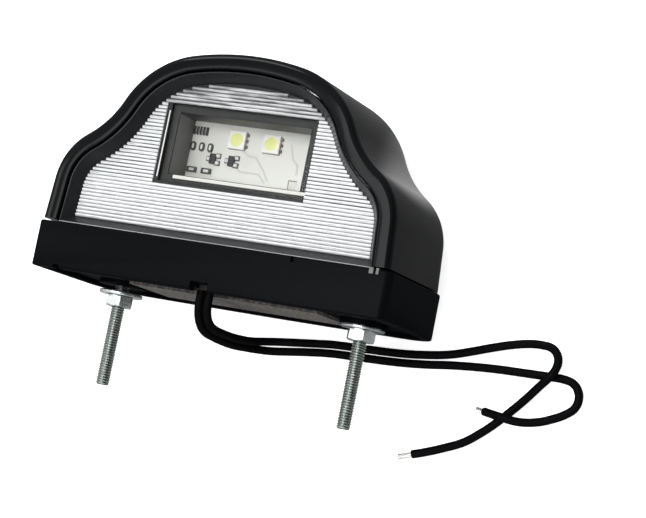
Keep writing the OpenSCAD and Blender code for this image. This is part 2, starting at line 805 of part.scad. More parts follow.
// Stud: its free end has the thread's outer diameter, and from the nut up it has the mean one
module stud(side, slack) {
    x = side * stud_pitch / 2;
    nut_low = -slack - washer_t - nut_t;
    color([0.62, 0.63, 0.6]) {
        upright_bar(stud_d, x, stud_z, stud_tip - stud_reach, nut_low);
        upright_bar(mean_d, x, stud_z, nut_low, boss_top - head_t);
        translate([x, stud_tip - stud_reach, stud_z]) rotate([90, 0, 0])
            cylinder(d1 = stud_d, d2 = stud_d - 2 * stud_tip, h = stud_tip);
        hexagon(hex_af, x, boss_top - head_t, boss_top);
    }
}

module washer(side, slack) {
    x = side * stud_pitch / 2;
    color([0.75, 0.75, 0.74]) difference() {
        upright_bar(washer_d, x, stud_z, -slack - washer_t, -slack);
        upright_bar(washer_hole, x, stud_z, -slack - washer_t - 1, 1);
    }
}

module nut(side, slack) {
    x = side * stud_pitch / 2;
    top = -slack - washer_t;
    color([0.78, 0.78, 0.77]) difference() {
        hexagon(hex_af, x, top - nut_t, top);
        upright_bar(mean_d, x, stud_z, top - nut_t - 1, 1);
    }
}

place() {
    base();
    base_seal();
    cover();
    lens();
    lens_seal();
    reflector();
    light_box();
    circuit_board();
    board_carrier();
    carrier_screws();
    module_screws();
    led(-1);  // led_left
    led(1);  // led_right
    phosphor(-1);  // phosphor_left
    phosphor(1);  // phosphor_right
    led_contacts();
    driver_chip();
    capacitors();
    transistors();
    transistor_leads();
    resistors();
    test_pad();
    solder_joints();
    grommet();
    inner_leads();
    lead_a();
    lead_b();
    lead_a_end();
    lead_b_end();
    stud(-1, left_slack);  // stud_left
    stud(1, 0);  // stud_right
    washer(-1, left_slack);  // washer_left
    washer(1, 0);  // washer_right
    nut(-1, left_slack);  // nut_left
    nut(1, 0);  // nut_right
}
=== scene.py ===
"""Number plate lamp, built up in the order in which its pieces go together."""
import math

import bmesh
import bpy
import numpy as np
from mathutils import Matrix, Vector
from mathutils.geometry import tessellate_polygon


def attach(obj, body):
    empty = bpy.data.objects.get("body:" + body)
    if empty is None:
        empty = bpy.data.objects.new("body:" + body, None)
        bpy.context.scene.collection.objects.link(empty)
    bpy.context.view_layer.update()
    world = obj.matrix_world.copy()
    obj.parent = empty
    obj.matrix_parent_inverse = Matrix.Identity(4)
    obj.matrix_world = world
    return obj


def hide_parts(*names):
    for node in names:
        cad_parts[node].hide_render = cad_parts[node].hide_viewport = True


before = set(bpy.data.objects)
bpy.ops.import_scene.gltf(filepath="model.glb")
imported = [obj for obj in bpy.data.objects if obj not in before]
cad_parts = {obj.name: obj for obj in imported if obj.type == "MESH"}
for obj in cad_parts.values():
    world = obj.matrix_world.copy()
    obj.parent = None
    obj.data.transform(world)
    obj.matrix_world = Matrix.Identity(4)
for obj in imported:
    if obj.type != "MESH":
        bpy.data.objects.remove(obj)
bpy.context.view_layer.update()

# Camera: a long lens in front of the lamp, to its right and a little below its window. The lamp
# lies on its back, so the camera looks down on it.
eye = bpy.data.cameras.new("camera")
eye.lens = 118.513
eye.sensor_fit = "HORIZONTAL"
eye.sensor_width = 36
eye.clip_start = 0.01
eye.clip_end = 20
camera = bpy.data.objects.new("camera", eye)
camera.location = (0.251125, -0.061503, 0.536732)
camera.rotation_euler = [math.radians(a) for a in (10.82825802, 22.41405455, 12.11555792)]
bpy.context.scene.collection.objects.link(camera)
bpy.context.scene.camera = camera


# Leads: two wires with soft black insulation. They come out of the notch in the base's front
# wall, run behind the right stud, and turn back over each other at the lamp's side.
mm = 0.001
mount_y = -17.95
lead_d = 2.3
route_a = [
    (-0.4, 0.9, 40.6), (-0.4, -2, 40.6), (-0.4, -5, 39.8), (-0.4, -7.2, 37.4), (-0.4, -8.2, 34),
    (-0.6, -8.5, 29), (-1, -8.6, 22), (-1, -8.4, 15), (-0.6, -8, 9.5), (1, -7.2, 5),
    (4.2, -6.4, 2.2), (8.5, -5.8, 1.2), (14, -5.2, 1.2), (20, -4.6, 1.2), (30, -4.3, 1.2),
    (40, -3.9, 1.2), (47, -3.2, 1.2), (54, -2, 1.2), (60, -0.2, 1.2), (65.3, 1.6, 1.2),
    (71, 3.3, 1.2), (76, 4.3, 1.3), (79.5, 4.4, 1.6), (81.7, 4.1, 1.9), (83.6, 2.8, 2.4),
    (84.6, 0.7, 3), (84.5, -1.4, 3.5), (83.5, -3.5, 3.8), (81, -6.4, 3.2), (77.3, -10.4, 1.7),
    (72.5, -15.6, 1.2), (69.3, -18.9, 1.2), (66, -21.8, 1.2), (62.5, -24.4, 1.2), (57, -27, 1.2),
    (52.5, -28.8, 1.2), (48.7, -30.1, 1.2),
]
route_b = [
    (-2.9, 0.9, 40.6), (-2.9, -2, 40.6), (-2.9, -5, 39.9), (-2.9, -7.6, 37.8), (-2.9, -9.2, 34.4),
    (-2.8, -9.9, 29), (-2.8, -10.3, 22), (-2.8, -10.3, 15), (-2.4, -10, 9.5), (-0.8, -9.7, 5),
    (2.4, -9.3, 2.2), (7, -8.6, 1.2), (13, -7.8, 1.2), (20, -7.1, 1.2), (30, -6.8, 1.2),
    (40, -6.4, 1.2), (48, -5.7, 1.2), (55, -4.8, 1.2), (66, -3.9, 1.2), (76, -3.6, 1.2),
    (82, -3.5, 1.2), (86.8, -3.6, 1.2), (89.1, -4.2, 1.2), (90.8, -5.9, 1.2), (91.4, -8.2, 1.2),
    (90.8, -10.5, 1.2), (89.1, -12.2, 1.2), (85.4, -14.3, 1.2), (81, -16, 1.8), (76.5, -16.7, 3.1),
    (72.2, -16.3, 3.8), (69.4, -15.9, 3.1), (66.7, -15.5, 1.9),
]


def fed(tree, node, inputs):
    """A node with its inputs set to values, or linked where the value is another node's output."""
    for socket, value in inputs.items():
        if isinstance(value, bpy.types.NodeSocket):
            tree.links.new(value, node.inputs[socket])
        else:
            node.inputs[socket].default_value = value
    return node


def added(tree, kind, inputs, **settings):
    """A new shader node with its settings and its inputs."""
    node = tree.nodes.new("ShaderNode" + kind)
    for name, value in settings.items():
        setattr(node, name, value)
    return fed(tree, node, inputs)


def place(tree):
    """Object coordinates, as a node's output."""
    return added(tree, "TexCoord", {}).outputs["Object"]


def between(tree, value, low, high, start=0.0, end=1.0, **settings):
    """A value carried from one range to another, as a node's output."""
    ranges = {"Value": value, "From Min": low, "From Max": high, "To Min": start, "To Max": end}
    return added(tree, "MapRange", ranges, **settings).outputs["Result"]


def finish_of(name, colour, roughness, metallic=0.0, specular=0.5, coat=0.0, coat_roughness=0.12):
    """A material with one plain finish all over, and its tree and shader to add to."""
    made = bpy.data.materials.new(name)
    made.use_nodes = True
    tree = made.node_tree
    shader = fed(tree, tree.nodes["Principled BSDF"], {
        "Base Color": (*colour, 1), "Roughness": roughness, "Metallic": metallic,
        "Specular IOR Level": specular,
        "Coat Weight": coat, "Coat Roughness": coat_roughness, "Coat IOR": 1.35,
    })
    return made, tree, shader


def skin_group():
    """Skin of a moulded piece. Fine noise is its height, and broad noise moves the roughness between
    its two values. Sizes are in waves per metre."""
    group = bpy.data.node_groups.new("moulded skin", "ShaderNodeTree")
    face = group.interface
    for name, value in (("Fine", 2500.0), ("Broad", 60.0), ("Smooth", 0.2), ("Dull", 0.4)):
        face.new_socket(name, in_out="INPUT", socket_type="NodeSocketFloat").default_value = value
    for name in ("Height", "Roughness"):
        face.new_socket(name, in_out="OUTPUT", socket_type="NodeSocketFloat")
    given, put_out = (group.nodes.new("NodeGroup" + side) for side in ("Input", "Output"))
    where = place(group)
    fine = added(group, "TexNoise", {"Vector": where, "Scale": given.outputs["Fine"]})
    broad = added(group, "TexNoise", {"Vector": where, "Scale": given.outputs["Broad"], "Detail": 4})
    dull = between(group, broad.outputs["Fac"], 0.35, 0.65, given.outputs["Smooth"], given.outputs["Dull"])
    fed(group, put_out, {"Height": fine.outputs["Fac"], "Roughness": dull})
    return group


skin = skin_group()


def skinned(tree, fine, broad, smooth, dull):
    """The moulded skin with its own values, placed in a material."""
    sizes = {"Fine": fine, "Broad": broad, "Smooth": smooth, "Dull": dull}
    return added(tree, "Group", sizes, node_tree=skin)


def moulded(name, colour, smooth, dull, bump, fine=2500.0, broad=60.0, **gloss):
    """A plastic or rubber finish with the moulded skin on it; bump is the skin's depth in metres. A coat
    in place of the shader's own gloss gives a black that stays dark at glancing angles."""
    made, tree, shader = finish_of(name, colour, smooth, **gloss)
    grain = skinned(tree, fine, broad, smooth, dull)
    height = grain.outputs["Height"]
    raised = added(tree, "Bump", {"Distance": bump, "Strength": 0.6, "Height": height}).outputs["Normal"]
    fed(tree, shader, {"Normal": raised, "Coat Normal": raised, "Roughness": grain.outputs["Roughness"]})
    return made


def in_scene(name, data, *materials):
    """An object at the origin that rides on the lamp, with its materials."""
    made = bpy.data.objects.new(name, data)
    bpy.context.scene.collection.objects.link(made)
    for material in materials:
        data.materials.append(material)
    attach(made, "root")
    return made


def lead(name, route):
    """A round bar bent along the route: a smooth curve through its points, given the lead's radius."""
    curve = bpy.data.curves.new(name + " line", "CURVE")
    curve.dimensions = "3D"
    curve.bevel_depth = lead_d / 2 * mm
    curve.bevel_resolution = 6
    curve.resolution_u = 8
    curve.use_fill_caps = True
    spline = curve.splines.new("BEZIER")
    spline.bezier_points.add(len(route) - 1)
    points = (np.array(route) + [0, mount_y, 0]) * mm
    spline.bezier_points.foreach_set("co", points.ravel())
    for point in spline.bezier_points:
        point.handle_left_type = point.handle_right_type = "AUTO"
    made = in_scene(name + "_insulation", curve, insulation)
    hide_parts(name)


insulation = moulded("lead insulation", (0.003, 0.003, 0.0035), 0.4, 0.6, 0.00004, fine=900,
                     specular=0.0, coat=0.05, coat_roughness=0.35)
lead("lead_a", route_a)
lead("lead_b", route_b)

# Bare ends: seven tinned copper strands, twisted together, that stand out where the insulation
# is stripped off. They are cut square with pliers.
strand_count = 7
strand_r = 0.23
strand_ring = 0.47
strand_turns = 0.55
strand_hidden = 0.6
strand_uneven = 0.05
strand_rows, strand_sides = 22, 10
sharp_angle = 32


def grid_faces(rows, columns, closed=True):
    """Quads between neighbouring points of a grid with rows times columns points, where each row
    closes on itself if closed."""
    quads_across = columns if closed else columns - 1
    row, column = np.meshgrid(np.arange(rows - 1), np.arange(quads_across), indexing="ij")
    this, beside = row * columns + column, row * columns + (column + 1) % columns
    return np.stack([q.ravel() for q in (this, beside, beside + columns, this + columns)], 1)


def capped(rows, columns):
    """Faces of a closed bar on a grid: its skin, and one flat face over each end."""
    ends = [list(range(columns)), list(range((rows - 1) * columns, rows * columns))]
    return grid_faces(rows, columns).tolist() + ends


def solid(name, points, faces, *materials, sharp=sharp_angle, look=None):
    """A closed mesh from points in lamp millimetres. Points that fall together are merged, the faces
    turn outwards, and edges under the sharp angle are smooth. look gives each face its material."""
    mesh = bpy.data.meshes.new(name)
    in_metres = (np.asarray(points) + [0, mount_y, 0]) * mm
    mesh.from_pydata(in_metres.tolist(), [], [list(map(int, f)) for f in faces])
    if look is not None:
        mesh.polygons.foreach_set("material_index", np.asarray(look, np.int32))
    work = bmesh.new()
    work.from_mesh(mesh)
    bmesh.ops.remove_doubles(work, verts=work.verts, dist=2e-6)
    bmesh.ops.recalc_face_normals(work, faces=work.faces)
    work.to_mesh(mesh)
    work.free()
    mesh.shade_smooth()
    mesh.set_sharp_from_angle(angle=math.radians(sharp))
    return in_scene(name, mesh, *materials)


def together(parts):
    """Points and faces of several parts as one list of each, with the faces' numbers shifted."""
    faces, start = [], 0
    for part_points, part_faces in parts:
        faces += [[i + start for i in face] for face in part_faces]
        start += len(part_points)
    return np.vstack([points for points, _ in parts]), faces


def strands(name, route, reach, fan):
    """Each strand's line is a helix round the lead's last direction, a + b t + ring (u cos w + v sin w)
    with w growing along it, and its skin is a circle carried along that line. fan spreads the tips."""
    start = np.array(route[-1], float)
    ahead = start - np.array(route[-2], float)
    ahead /= np.linalg.norm(ahead)
    u = np.cross(ahead, [0, 0, 1])
    u /= np.linalg.norm(u)
    v = np.cross(ahead, u)
    t = np.linspace(-strand_hidden, 1, strand_rows)
    a = np.linspace(0, 2 * np.pi, strand_sides, endpoint=False)
    circle = strand_r * (np.cos(a)[:, None] * u + np.sin(a)[:, None] * v)
    parts = []
    for k in range(strand_count):
        ring = (0 if k == 0 else strand_ring) * (1 + fan * np.clip(t, 0, 1) ** 2)
        w = 2 * np.pi * (k / (strand_count - 1) + strand_turns * t)
        tip = reach * (1 - strand_uneven * (5 * k % strand_count) / strand_count)
        aside = np.outer(np.cos(w), u) + np.outer(np.sin(w), v)
        line = start + np.outer(t * tip, ahead) + ring[:, None] * aside
        skin_points = (line[:, None] + circle[None]).reshape(-1, 3)
        parts.append((skin_points, capped(strand_rows, strand_sides)))
    made = solid(name + "_strands", *together(parts), tinned, sharp=50)
    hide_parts(name)


tinned = finish_of("tinned strands", (0.72, 0.71, 0.69), 0.28, 1.0)[0]
strands("lead_a_end", route_a, 4.0, 0.25)
strands("lead_b_end", route_b, 2.8, 0.15)

# Cover: a bell-shaped hood of glossy black plastic, moulded in one piece with the rim round its
# lens and a large radius round its back. It snaps onto the base with two hooks.
base_w = 104.0
base_h = 12.5
depth = 48.0
wall = 2.2
cover_w = base_w - 2.0
cover_h = 63.5
crown_r = 78.0
corner_r, corner_x = 26.0, 10.5
neck_r = 26.0
hip_r, hip_in, hip_up = 17.0, 17.8, 10.9
cover_rear_r = 10.0
bevel = 2.0
rim_in = 4.5
rim_back = 42.5
rim_edge = 0.45
back_sag = 3.0
seam = 0.6
hip_steps, neck_steps, shoulder_steps, crown_steps = 20, 14, 20, 9
back_columns = 20


def arc(centre, r, start, end, steps):
    """Points on a circle round the centre, from one angle to the other."""
    a = np.linspace(start, end, steps)
    return np.stack([centre[0] + r * np.cos(a), centre[1] + r * np.sin(a)], 1)


def heading(direction):
    """Angle of a direction, counted from x towards y."""
    return math.atan2(direction[1], direction[0])


def bell_half(inset, low):
    """Right half of the bell, from its foot to the top. A straight line leaves the foot and touches
    the lower corner's circle; then come the hollow neck, the shoulder and the crown, each circle
    touching the last. An inset makes the outward circles smaller and the hollow one larger."""
    crown = np.array([0, cover_h - crown_r])
    corner = np.array([corner_x, crown[1] + math.sqrt((crown_r - corner_r) ** 2 - corner_x**2)])
    hip = np.array([cover_w / 2 - hip_in, base_h + hip_up])
    to_corner, to_hip = corner_r + neck_r, hip_r + neck_r
    span = np.linalg.norm(hip - corner)
    u = (hip - corner) / span
    along = (to_corner**2 - to_hip**2 + span**2) / (2 * span)
    neck = corner + u * along + np.array([-u[1], u[0]]) * math.sqrt(to_corner**2 - along**2)
    foot = np.array([cover_w / 2, base_h])
    reach = np.linalg.norm(hip - foot)
    lean = heading(hip - foot) - math.asin(hip_r / reach)
    touch = foot + math.sqrt(reach**2 - hip_r**2) * np.array([math.cos(lean), math.sin(lean)])
    first = [foot[0] - inset / math.sin(lean) - (base_h - low) / math.tan(lean), low]
    return np.vstack([
        [first],
        arc(hip, hip_r - inset, heading(touch - hip), heading(neck - hip), hip_steps),
        arc(neck, neck_r + inset, heading(hip - neck), heading(corner - neck), neck_steps)[1:],
        arc(corner, corner_r - inset, heading(neck - corner), heading(corner - crown), shoulder_steps)[1:],
        arc(crown, crown_r - inset, heading(corner - crown), math.pi / 2, crown_steps)[1:],
    ])


def bell(inset, low=base_h):
    """The whole outline: the right half, and its mirror image on the way down."""
    half = bell_half(inset, low)
    return np.vstack([half, half[-2::-1] * [-1, 1]])


def back_z(x, inset=0.0):
    """Height of the curved back over its lowest line: r - sqrt((r - inset)^2 - x^2)."""
    r = ((cover_w / 2) ** 2 + back_sag**2) / (2 * back_sag)
    return r - np.sqrt((r - inset) ** 2 - np.asarray(x) ** 2)


def flat_faces(ring, points, across):
    """Triangles that fill a flat ring of point numbers, seen along the axis that across leaves out."""
    outline = [Vector((*points[i][list(across)], 0)) for i in ring]
    return [[ring[i] for i in triangle] for triangle in tessellate_polygon([outline])]


def quarter_turn(edge_in, edge_z, r_in, r_z, angles):
    """Insets and depths on a quarter circle: at the angle a the inset is edge_in + r_in (1 - cos a), and
    the depth is edge_z + r_z (1 - sin a)."""
    return [(edge_in + r_in * (1 - math.cos(a)), edge_z + r_z * (1 - math.sin(a))) for a in angles]


def cover_shell():
    """Rings of the outline at an inset and a depth, from the back of the inner wall round the rim to
    the back of the outer wall. Both ends are closed by rows across the curved back, and the foot by
    a flat face that leaves a seam over the base. With its inset and its depth, a ring has the share
    of the back's height that it follows and the inset of that back."""
    turn = np.linspace(0, math.pi / 2, 13)
    inner_r = cover_rear_r - wall
    rings = [(*ring, 1, wall) for ring in quarter_turn(wall, 0, inner_r, inner_r, turn[::-1])]
    rings += [(wall, rim_back, 0, 0), (rim_in, rim_back, 0, 0), (rim_in, depth - rim_edge, 0, 0)]
    rings += [(*ring, 0, 0) for ring in quarter_turn(rim_in, depth, -rim_edge, -rim_edge, turn[3::3])]
    rings += [(bevel * (1 - math.sin(a)), depth - bevel * (1 - math.cos(a)), 0, 0) for a in turn[::2]]
    rings += [(*ring, 1, 0) for ring in quarter_turn(0, 0, cover_rear_r, cover_rear_r, turn)]
    outlines = [bell(ring[0], base_h + seam) for ring in rings]
    points = [np.column_stack([o, r[1] + r[2] * back_z(o[:, 0], r[3])]) for o, r in zip(outlines, rings)]
    count = len(outlines[0])
    faces = grid_faces(len(rings), count, closed=False).tolist()
    half_count = (count + 1) // 2 - 1
    caps = []
    for number in (0, len(rings) - 1):
        ring = rings[number]
        side = bell_half(ring[0], base_h + seam)[:-1]
        across = side[:, :1] * (1 - 2 * np.arange(1, back_columns) / back_columns)
        rows = np.stack([across, np.repeat(side[:, 1:], back_columns - 1, 1), back_z(across, ring[3])], -1)
        start = len(rings) * count + len(caps) * across.size
        points.append(rows.reshape(-1, 3))
        right_side = number * count + np.arange(half_count)
        left_side = number * count + count - 1 - np.arange(half_count)
        between_sides = np.arange(across.size).reshape(across.shape) + start
        index = np.column_stack([right_side, between_sides, left_side])
        top = number * count + half_count
        quads = np.stack([index[:-1, :-1], index[1:, :-1], index[1:, 1:], index[:-1, 1:]], -1)
        faces += quads.reshape(-1, 4).tolist()
        faces += [[a, top, b] for a, b in zip(index[-1, :-1], index[-1, 1:])]
        caps.append(index[0].tolist())
    points = np.vstack(points)
    first = [r * count for r in range(len(rings))]
    last = [r * count + count - 1 for r in range(len(rings) - 1, -1, -1)]
    foot = first + caps[1][1:-1] + last + caps[0][-2:0:-1]
    return points, faces + flat_faces(foot, points, (0, 2))


cover_black = moulded("glossy black plastic", (0.002, 0.0025, 0.003), 0.4, 0.6, 0.00001, fine=700, broad=45,
                      specular=0.0, coat=0.35, coat_roughness=0.12)
hood = solid("cover_hood", *cover_shell(), cover_black)
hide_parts("cover")

# Base: a tray of satin black plastic with a shallow recess for its seal below, a boss for each
# stud, and small cuts for the leads, the drain and the tool that prises the cover off.
front_r, rear_r = 2.5, 12.0
least_front_r, least_rear_r = 0.05, 1.0
front_steps, rear_steps = 8, 16
base_round = 0.5
floor_top = 3.8
recess = 1.2
recess_rim = 3.0
boss_d = 13.0
boss_low, boss_top = 0.05, 8.3
stud_x, stud_z, stud_d = 36.5, 22.5, 4.0
bar_sides = 48
notch = ((-3.0, 2.2), (-1.0, 2.3), (40.6, 49.0))
pry = ((23.9, 34.8), (11.1, 13.5), (46.8, 49.0))
drain = ((-44.5, -42.5), (-1.0, 1.0), (44.0, 49.0))
bush_x, bush_z, bush_w, bush_h = -1.65, 40.6, 5.6, 3.3


def plan(inset):
    """Outline of the base in x and z: straight front and sides, round corners, and a back that is an
    arc through three points. Each circle's radius shrinks by the inset, down to a small one."""
    side = base_w / 2 - inset
    r = ((base_w / 2) ** 2 + back_sag**2) / (2 * back_sag)
    front, rear = max(front_r - inset, least_front_r), max(rear_r - inset, least_rear_r)
    rear_z = r - math.sqrt((r - inset - rear) ** 2 - (side - rear) ** 2)
    meet = math.atan2(rear_z - r, side - rear)
    half = np.vstack([
        arc((side - front, depth - inset - front), front, math.pi / 2, 0, front_steps),
        arc((side - rear, rear_z), rear, 0, meet, rear_steps),
        arc((0, r), r - inset, meet, -math.pi / 2, rear_steps)[1:],
    ])
    return np.vstack([half, half[-2::-1] * [-1, 1]])


def lofted(levels, outline):
    """A solid between flat ends. Each level is an inset and a height; its ring is the outline at that
    inset, standing at that height."""
    rings = [outline(inset) for inset, _ in levels]
    count = len(rings[0])
    stood = [np.column_stack([r[:, 0], np.full(count, y), r[:, 1]]) for r, (_, y) in zip(rings, levels)]
    return np.vstack(stood), capped(len(levels), count)


def bar(outline, low, high):
    """A straight bar along y with one outline in x and z."""
    return lofted([(0, low), (0, high)], lambda inset: outline)


def rounded(low, high, r):
    """Levels of a loft whose two outer edges are quarter circles of the radius r."""
    turn = np.linspace(0, math.pi / 2, 5)
    lower = [(r * (1 - math.sin(a)), low + r * (1 - math.cos(a))) for a in turn]
    return lower + [(r * (1 - math.cos(a)), high - r * (1 - math.sin(a))) for a in turn]


def block(x, y, z):
    """A plain block between two values on each axis."""
    return bar(np.array([(x[0], z[0]), (x[1], z[0]), (x[1], z[1]), (x[0], z[1])], float), *y)


def circle_of(x, z, r, sides):
    """A whole circle, with no point twice."""
    return arc((x, z), r, 0, 2 * math.pi, sides + 1)[:-1]


def oval(x, z, w, h):
    """Two half circles of the radius h / 2, joined by straight sides: w across and h high."""
    turn, steps = math.pi / 2, 9
    straight = (w - h) / 2
    return np.vstack([
        arc((x + straight, z), h / 2, -turn, turn, steps),
        arc((x - straight, z), h / 2, turn, 3 * turn, steps),
    ])


def carved(made, adds=(), cuts=()):
    """Joins and cuts solids with exact Booleans, bakes the result into the mesh and drops the tools."""
    tools = []
    for kind, shapes in (("UNION", adds), ("DIFFERENCE", cuts)):
        for shape in shapes:
            tool = solid("tool", *shape)
            tools.append(tool)
            step = made.modifiers.new(kind, "BOOLEAN")
            step.operation = kind
            step.solver = "EXACT"
            step.object = tool
    graph = bpy.context.evaluated_depsgraph_get()
    mesh = bpy.data.meshes.new_from_object(made.evaluated_get(graph), depsgraph=graph)
    made.modifiers.clear()
    made.data = mesh
    for tool in tools:
        bpy.data.objects.remove(tool, do_unlink=True)
    mesh.shade_smooth()
    mesh.set_sharp_from_angle(angle=math.radians(sharp_angle))


base_black = moulded("satin black plastic", (0.0025, 0.003, 0.0038), 0.4, 0.6, 0.00005, fine=1800, broad=90,
                     specular=0.0, coat=0.08, coat_roughness=0.3)
tray = solid("base_tray", *lofted(rounded(0, base_h, base_round), plan), base_black)
carved(tray, cuts=[
    lofted([(wall, floor_top), (wall, base_h + 1)], plan),
    lofted([(recess_rim, -1), (recess_rim, recess)], plan),
    block(*notch), block(*pry), block(*drain),
    bar(oval(bush_x, bush_z, bush_w, bush_h), -1, base_h - 1),
])
stud_places = [side * stud_x for side in (-1, 1)]
carved(
    tray,
    adds=[bar(circle_of(x, stud_z, boss_d / 2, bar_sides), boss_low, boss_top) for x in stud_places],
    cuts=[bar(circle_of(x, stud_z, stud_d / 2, bar_sides), -1, boss_top + 1) for x in stud_places],
)
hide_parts("base")

# Lens: one clear plastic moulding. Its level ribs lie over a bright metallised plate and look
# white. Its smooth border rises to the front of the rim and looks black, and its window is clear.
box_x, box_y, box_w, box_h = 0.7, 38.5, 43.4, 21.3
window_left, window_right = box_x - box_w / 2, box_x + box_w / 2
window_foot, window_top = box_y - box_h / 2, box_y + box_h / 2
face_in = 4.9
face_z = 43.6
border_z = 47.2
border_top = 0.4
border_fall = 0.03
smooth_border = 2.6
plate_edge = 0.2
rib_in = face_in + smooth_border
rib_pitch = 1.0
rib_h = 0.6
rib_sunk, rib_foot = 0.02, 0.2
rib_fullness = 0.8
into_slope = 0.9
edge_gap = 1.3
top_gap = 0.3
pane_back = 42.8
box_front = 42.7
flange_back = 40.5


def half_width(y, inset, low):
    """Half the bell's width at a height, read off its outline at that inset."""
    half = bell_half(inset, low)
    return np.interp(y, half[:, 1], half[:, 0])


def rib(low, start, end):
    """A rib from one x to the other, with flat ends. Its section stands on a foot just below the lens
    face, and its height over the width s is rib_h sin(pi s), made fuller by a power below one."""
    s = np.linspace(0, 1, 9)
    y = np.concatenate([low + s * rib_pitch, [low + rib_pitch, low]])
    crest_shade = face_z - rib_sunk + rib_h * np.sin(math.pi * s) ** rib_fullness
    z = np.concatenate([crest_shade, [face_z - rib_foot, face_z - rib_foot]])
    points = np.vstack([np.column_stack([np.full(len(y), x), y, z]) for x in (start, end)])
    return points, capped(2, len(y))


def ribs():
    """Ribs from the foot to the top of the bell, each as long on the left as the bell is wide at its
    narrower edge, so that their ends step like stairs. On the right they run into the border's slope,
    and those beside the window come in two."""
    parts = []
    low = base_h + smooth_border
    while low + rib_pitch <= cover_h - rib_in:
        heights = np.array([low, low + rib_pitch / 2, low + rib_pitch])
        reach = float(half_width(heights, rib_in, base_h).min())
        if low + rib_pitch > window_foot and low < window_top - top_gap:
            parts.append(rib(low, -reach, window_left - edge_gap))
            parts.append(rib(low, window_right, reach + into_slope))
        else:
            parts.append(rib(low, -reach, reach + into_slope))
        low += rib_pitch
    return together(parts)


def lens_plate():
    """The lens between its back and its face. Rings of the bell, each an inset, a rise of the foot and a
    depth, run from the back up the outside, over the border's flat top and down its slope to the ribbed
    face. The window is left out of both flat ends, and level walls join its edges. Of the materials, the
    flat back takes the second, and the foot of the border's flat top the third, a lighter grey that is a
    painted highlight along the lens's lower edge."""
    rings = [(face_in, 0, flange_back), (face_in, 0, border_z - plate_edge)]
    rings += [(face_in + plate_edge, plate_edge, border_z)]
    rings += [(face_in + border_top, border_top, border_z - border_fall), (rib_in, smooth_border, face_z)]
    hole = np.array([
        (window_left, window_foot), (window_left, window_top),
        (window_right, window_top), (window_right, window_foot),
    ])
    outlines = [bell(inset, base_h + rise) for inset, rise, _ in rings]
    count = len(outlines[0])
    points = [np.column_stack([o, np.full(count, r[2])]) for o, r in zip(outlines, rings)]
    points += [np.column_stack([hole, np.full(4, z)]) for z in (flange_back, face_z)]
    faces = grid_faces(len(rings), count).tolist()
    look = [0] * len(faces)
    flat_top = 2
    look[(flat_top + 1) * count - 1] = 2
    holes = len(rings) * count
    for ring, hole_start, kind in ((0, holes, 1), (len(rings) - 1, holes + 4, 0)):
        index = list(range(ring * count, (ring + 1) * count)) + list(range(hole_start, hole_start + 4))
        flat = [[Vector((*p, 0)) for p in loop] for loop in (outlines[ring], hole)]
        filled = [[index[i] for i in triangle] for triangle in tessellate_polygon(flat)]
        faces += filled
        look += [kind] * len(filled)
    faces += [[holes + i, holes + (i + 1) % 4, holes + 4 + (i + 1) % 4, holes + 4 + i] for i in range(4)]
    return np.vstack(points), faces, look + [0] * 4


def mixed(tree, factor, first, second):
    """Two colours mixed by a factor, as a node's output."""
    colours = [c if isinstance(c, bpy.types.NodeSocket) else (*c, 1) for c in (first, second)]
    inputs = {"A": colours[0], "B": colours[1], "Factor": factor}
    return added(tree, "Mix", inputs, data_type="RGBA").outputs["Result"]


def worked(tree, operation, *values):
    """One step of arithmetic, as a node's output."""
    return added(tree, "Math", dict(enumerate(values)), operation=operation).outputs[0]


def stretched(tree, scale, detail):
    """Noise with its own number of waves per metre on each axis."""
    turned = added(tree, "Mapping", {"Vector": place(tree), "Scale": scale}).outputs["Vector"]
    return added(tree, "TexNoise", {"Vector": turned, "Scale": 1.0, "Detail": detail}).outputs["Fac"]


def grey(level):
    """A neutral colour with a trace of blue, as plastic over silver has."""
    return (level, level, level + 0.01)


def ribbed_material():
    """Bright ribs, whose colour is a painted reflection of the silver plate behind the clear plastic. A saw
    of the height counts the ribs; near a whole number a dark line of painted shade runs along the valley,
    and near a half a weaker one along the crest. Noise that is stretched along the ribs moves the lines'
    widths and tones. The lines are weak below the window, and above it the painted reflection is darker and
    streaked."""
    made, tree, shader = finish_of("ribs with painted silver reflection", (0.8, 0.81, 0.82), 0.22, 0.0, 0.5, 0.3)
    height = added(tree, "SeparateXYZ", {"Vector": place(tree)}).outputs["Y"]

    def over(y, start, end):
        """How far a point's height has come from start to end, both counted from y."""
        return between(tree, height, (y + mount_y + start) * mm, (y + mount_y + end) * mm)

    first_rib = (base_h + smooth_border + mount_y) * mm
    counted = between(tree, height, first_rib, first_rib + rib_pitch * mm, clamp=False)
    swing = worked(tree, "PINGPONG", counted, 0.5)
    streak = stretched(tree, (110, 1100, 400), 4)
    fine = stretched(tree, (420, 2600, 400), 3)
    beside_window, above_window = over(window_foot, -0.4, 0), over(window_top, -1, 1)
    valley_shade = between(tree, swing, 0.02, between(tree, streak, 0.35, 0.68, 0.06, 0.3))
    crest_shade = between(tree, swing, 0.5, between(tree, fine, 0.4, 0.62, 0.495, 0.3))
    streaked_reflection = mixed(tree, between(tree, streak, 0.38, 0.6), (0.66, 0.67, 0.68), (0.2, 0.2, 0.205))
    # silver here is the painted reflection of the metallised plate, darker and streaked above the window.
    silver = mixed(tree, above_window, (0.72, 0.73, 0.74), streaked_reflection)
    weak = mixed(tree, between(tree, fine, 0.35, 0.65), grey(0.3), grey(0.6))
    strong = mixed(tree, beside_window, weak, (0.07, 0.072, 0.076))
    # line is the colour of the painted shade along the rib valleys.
    line = mixed(tree, above_window, strong, (0.17, 0.172, 0.176))
    crest_shade_colour = mixed(tree, between(tree, streak, 0.45, 0.6), grey(0.42), grey(0.7))
    soft = mixed(tree, crest_shade, mixed(tree, above_window, crest_shade_colour, grey(0.45)), silver)
    fed(tree, shader, {"Base Color": mixed(tree, valley_shade, line, soft)})
    return made
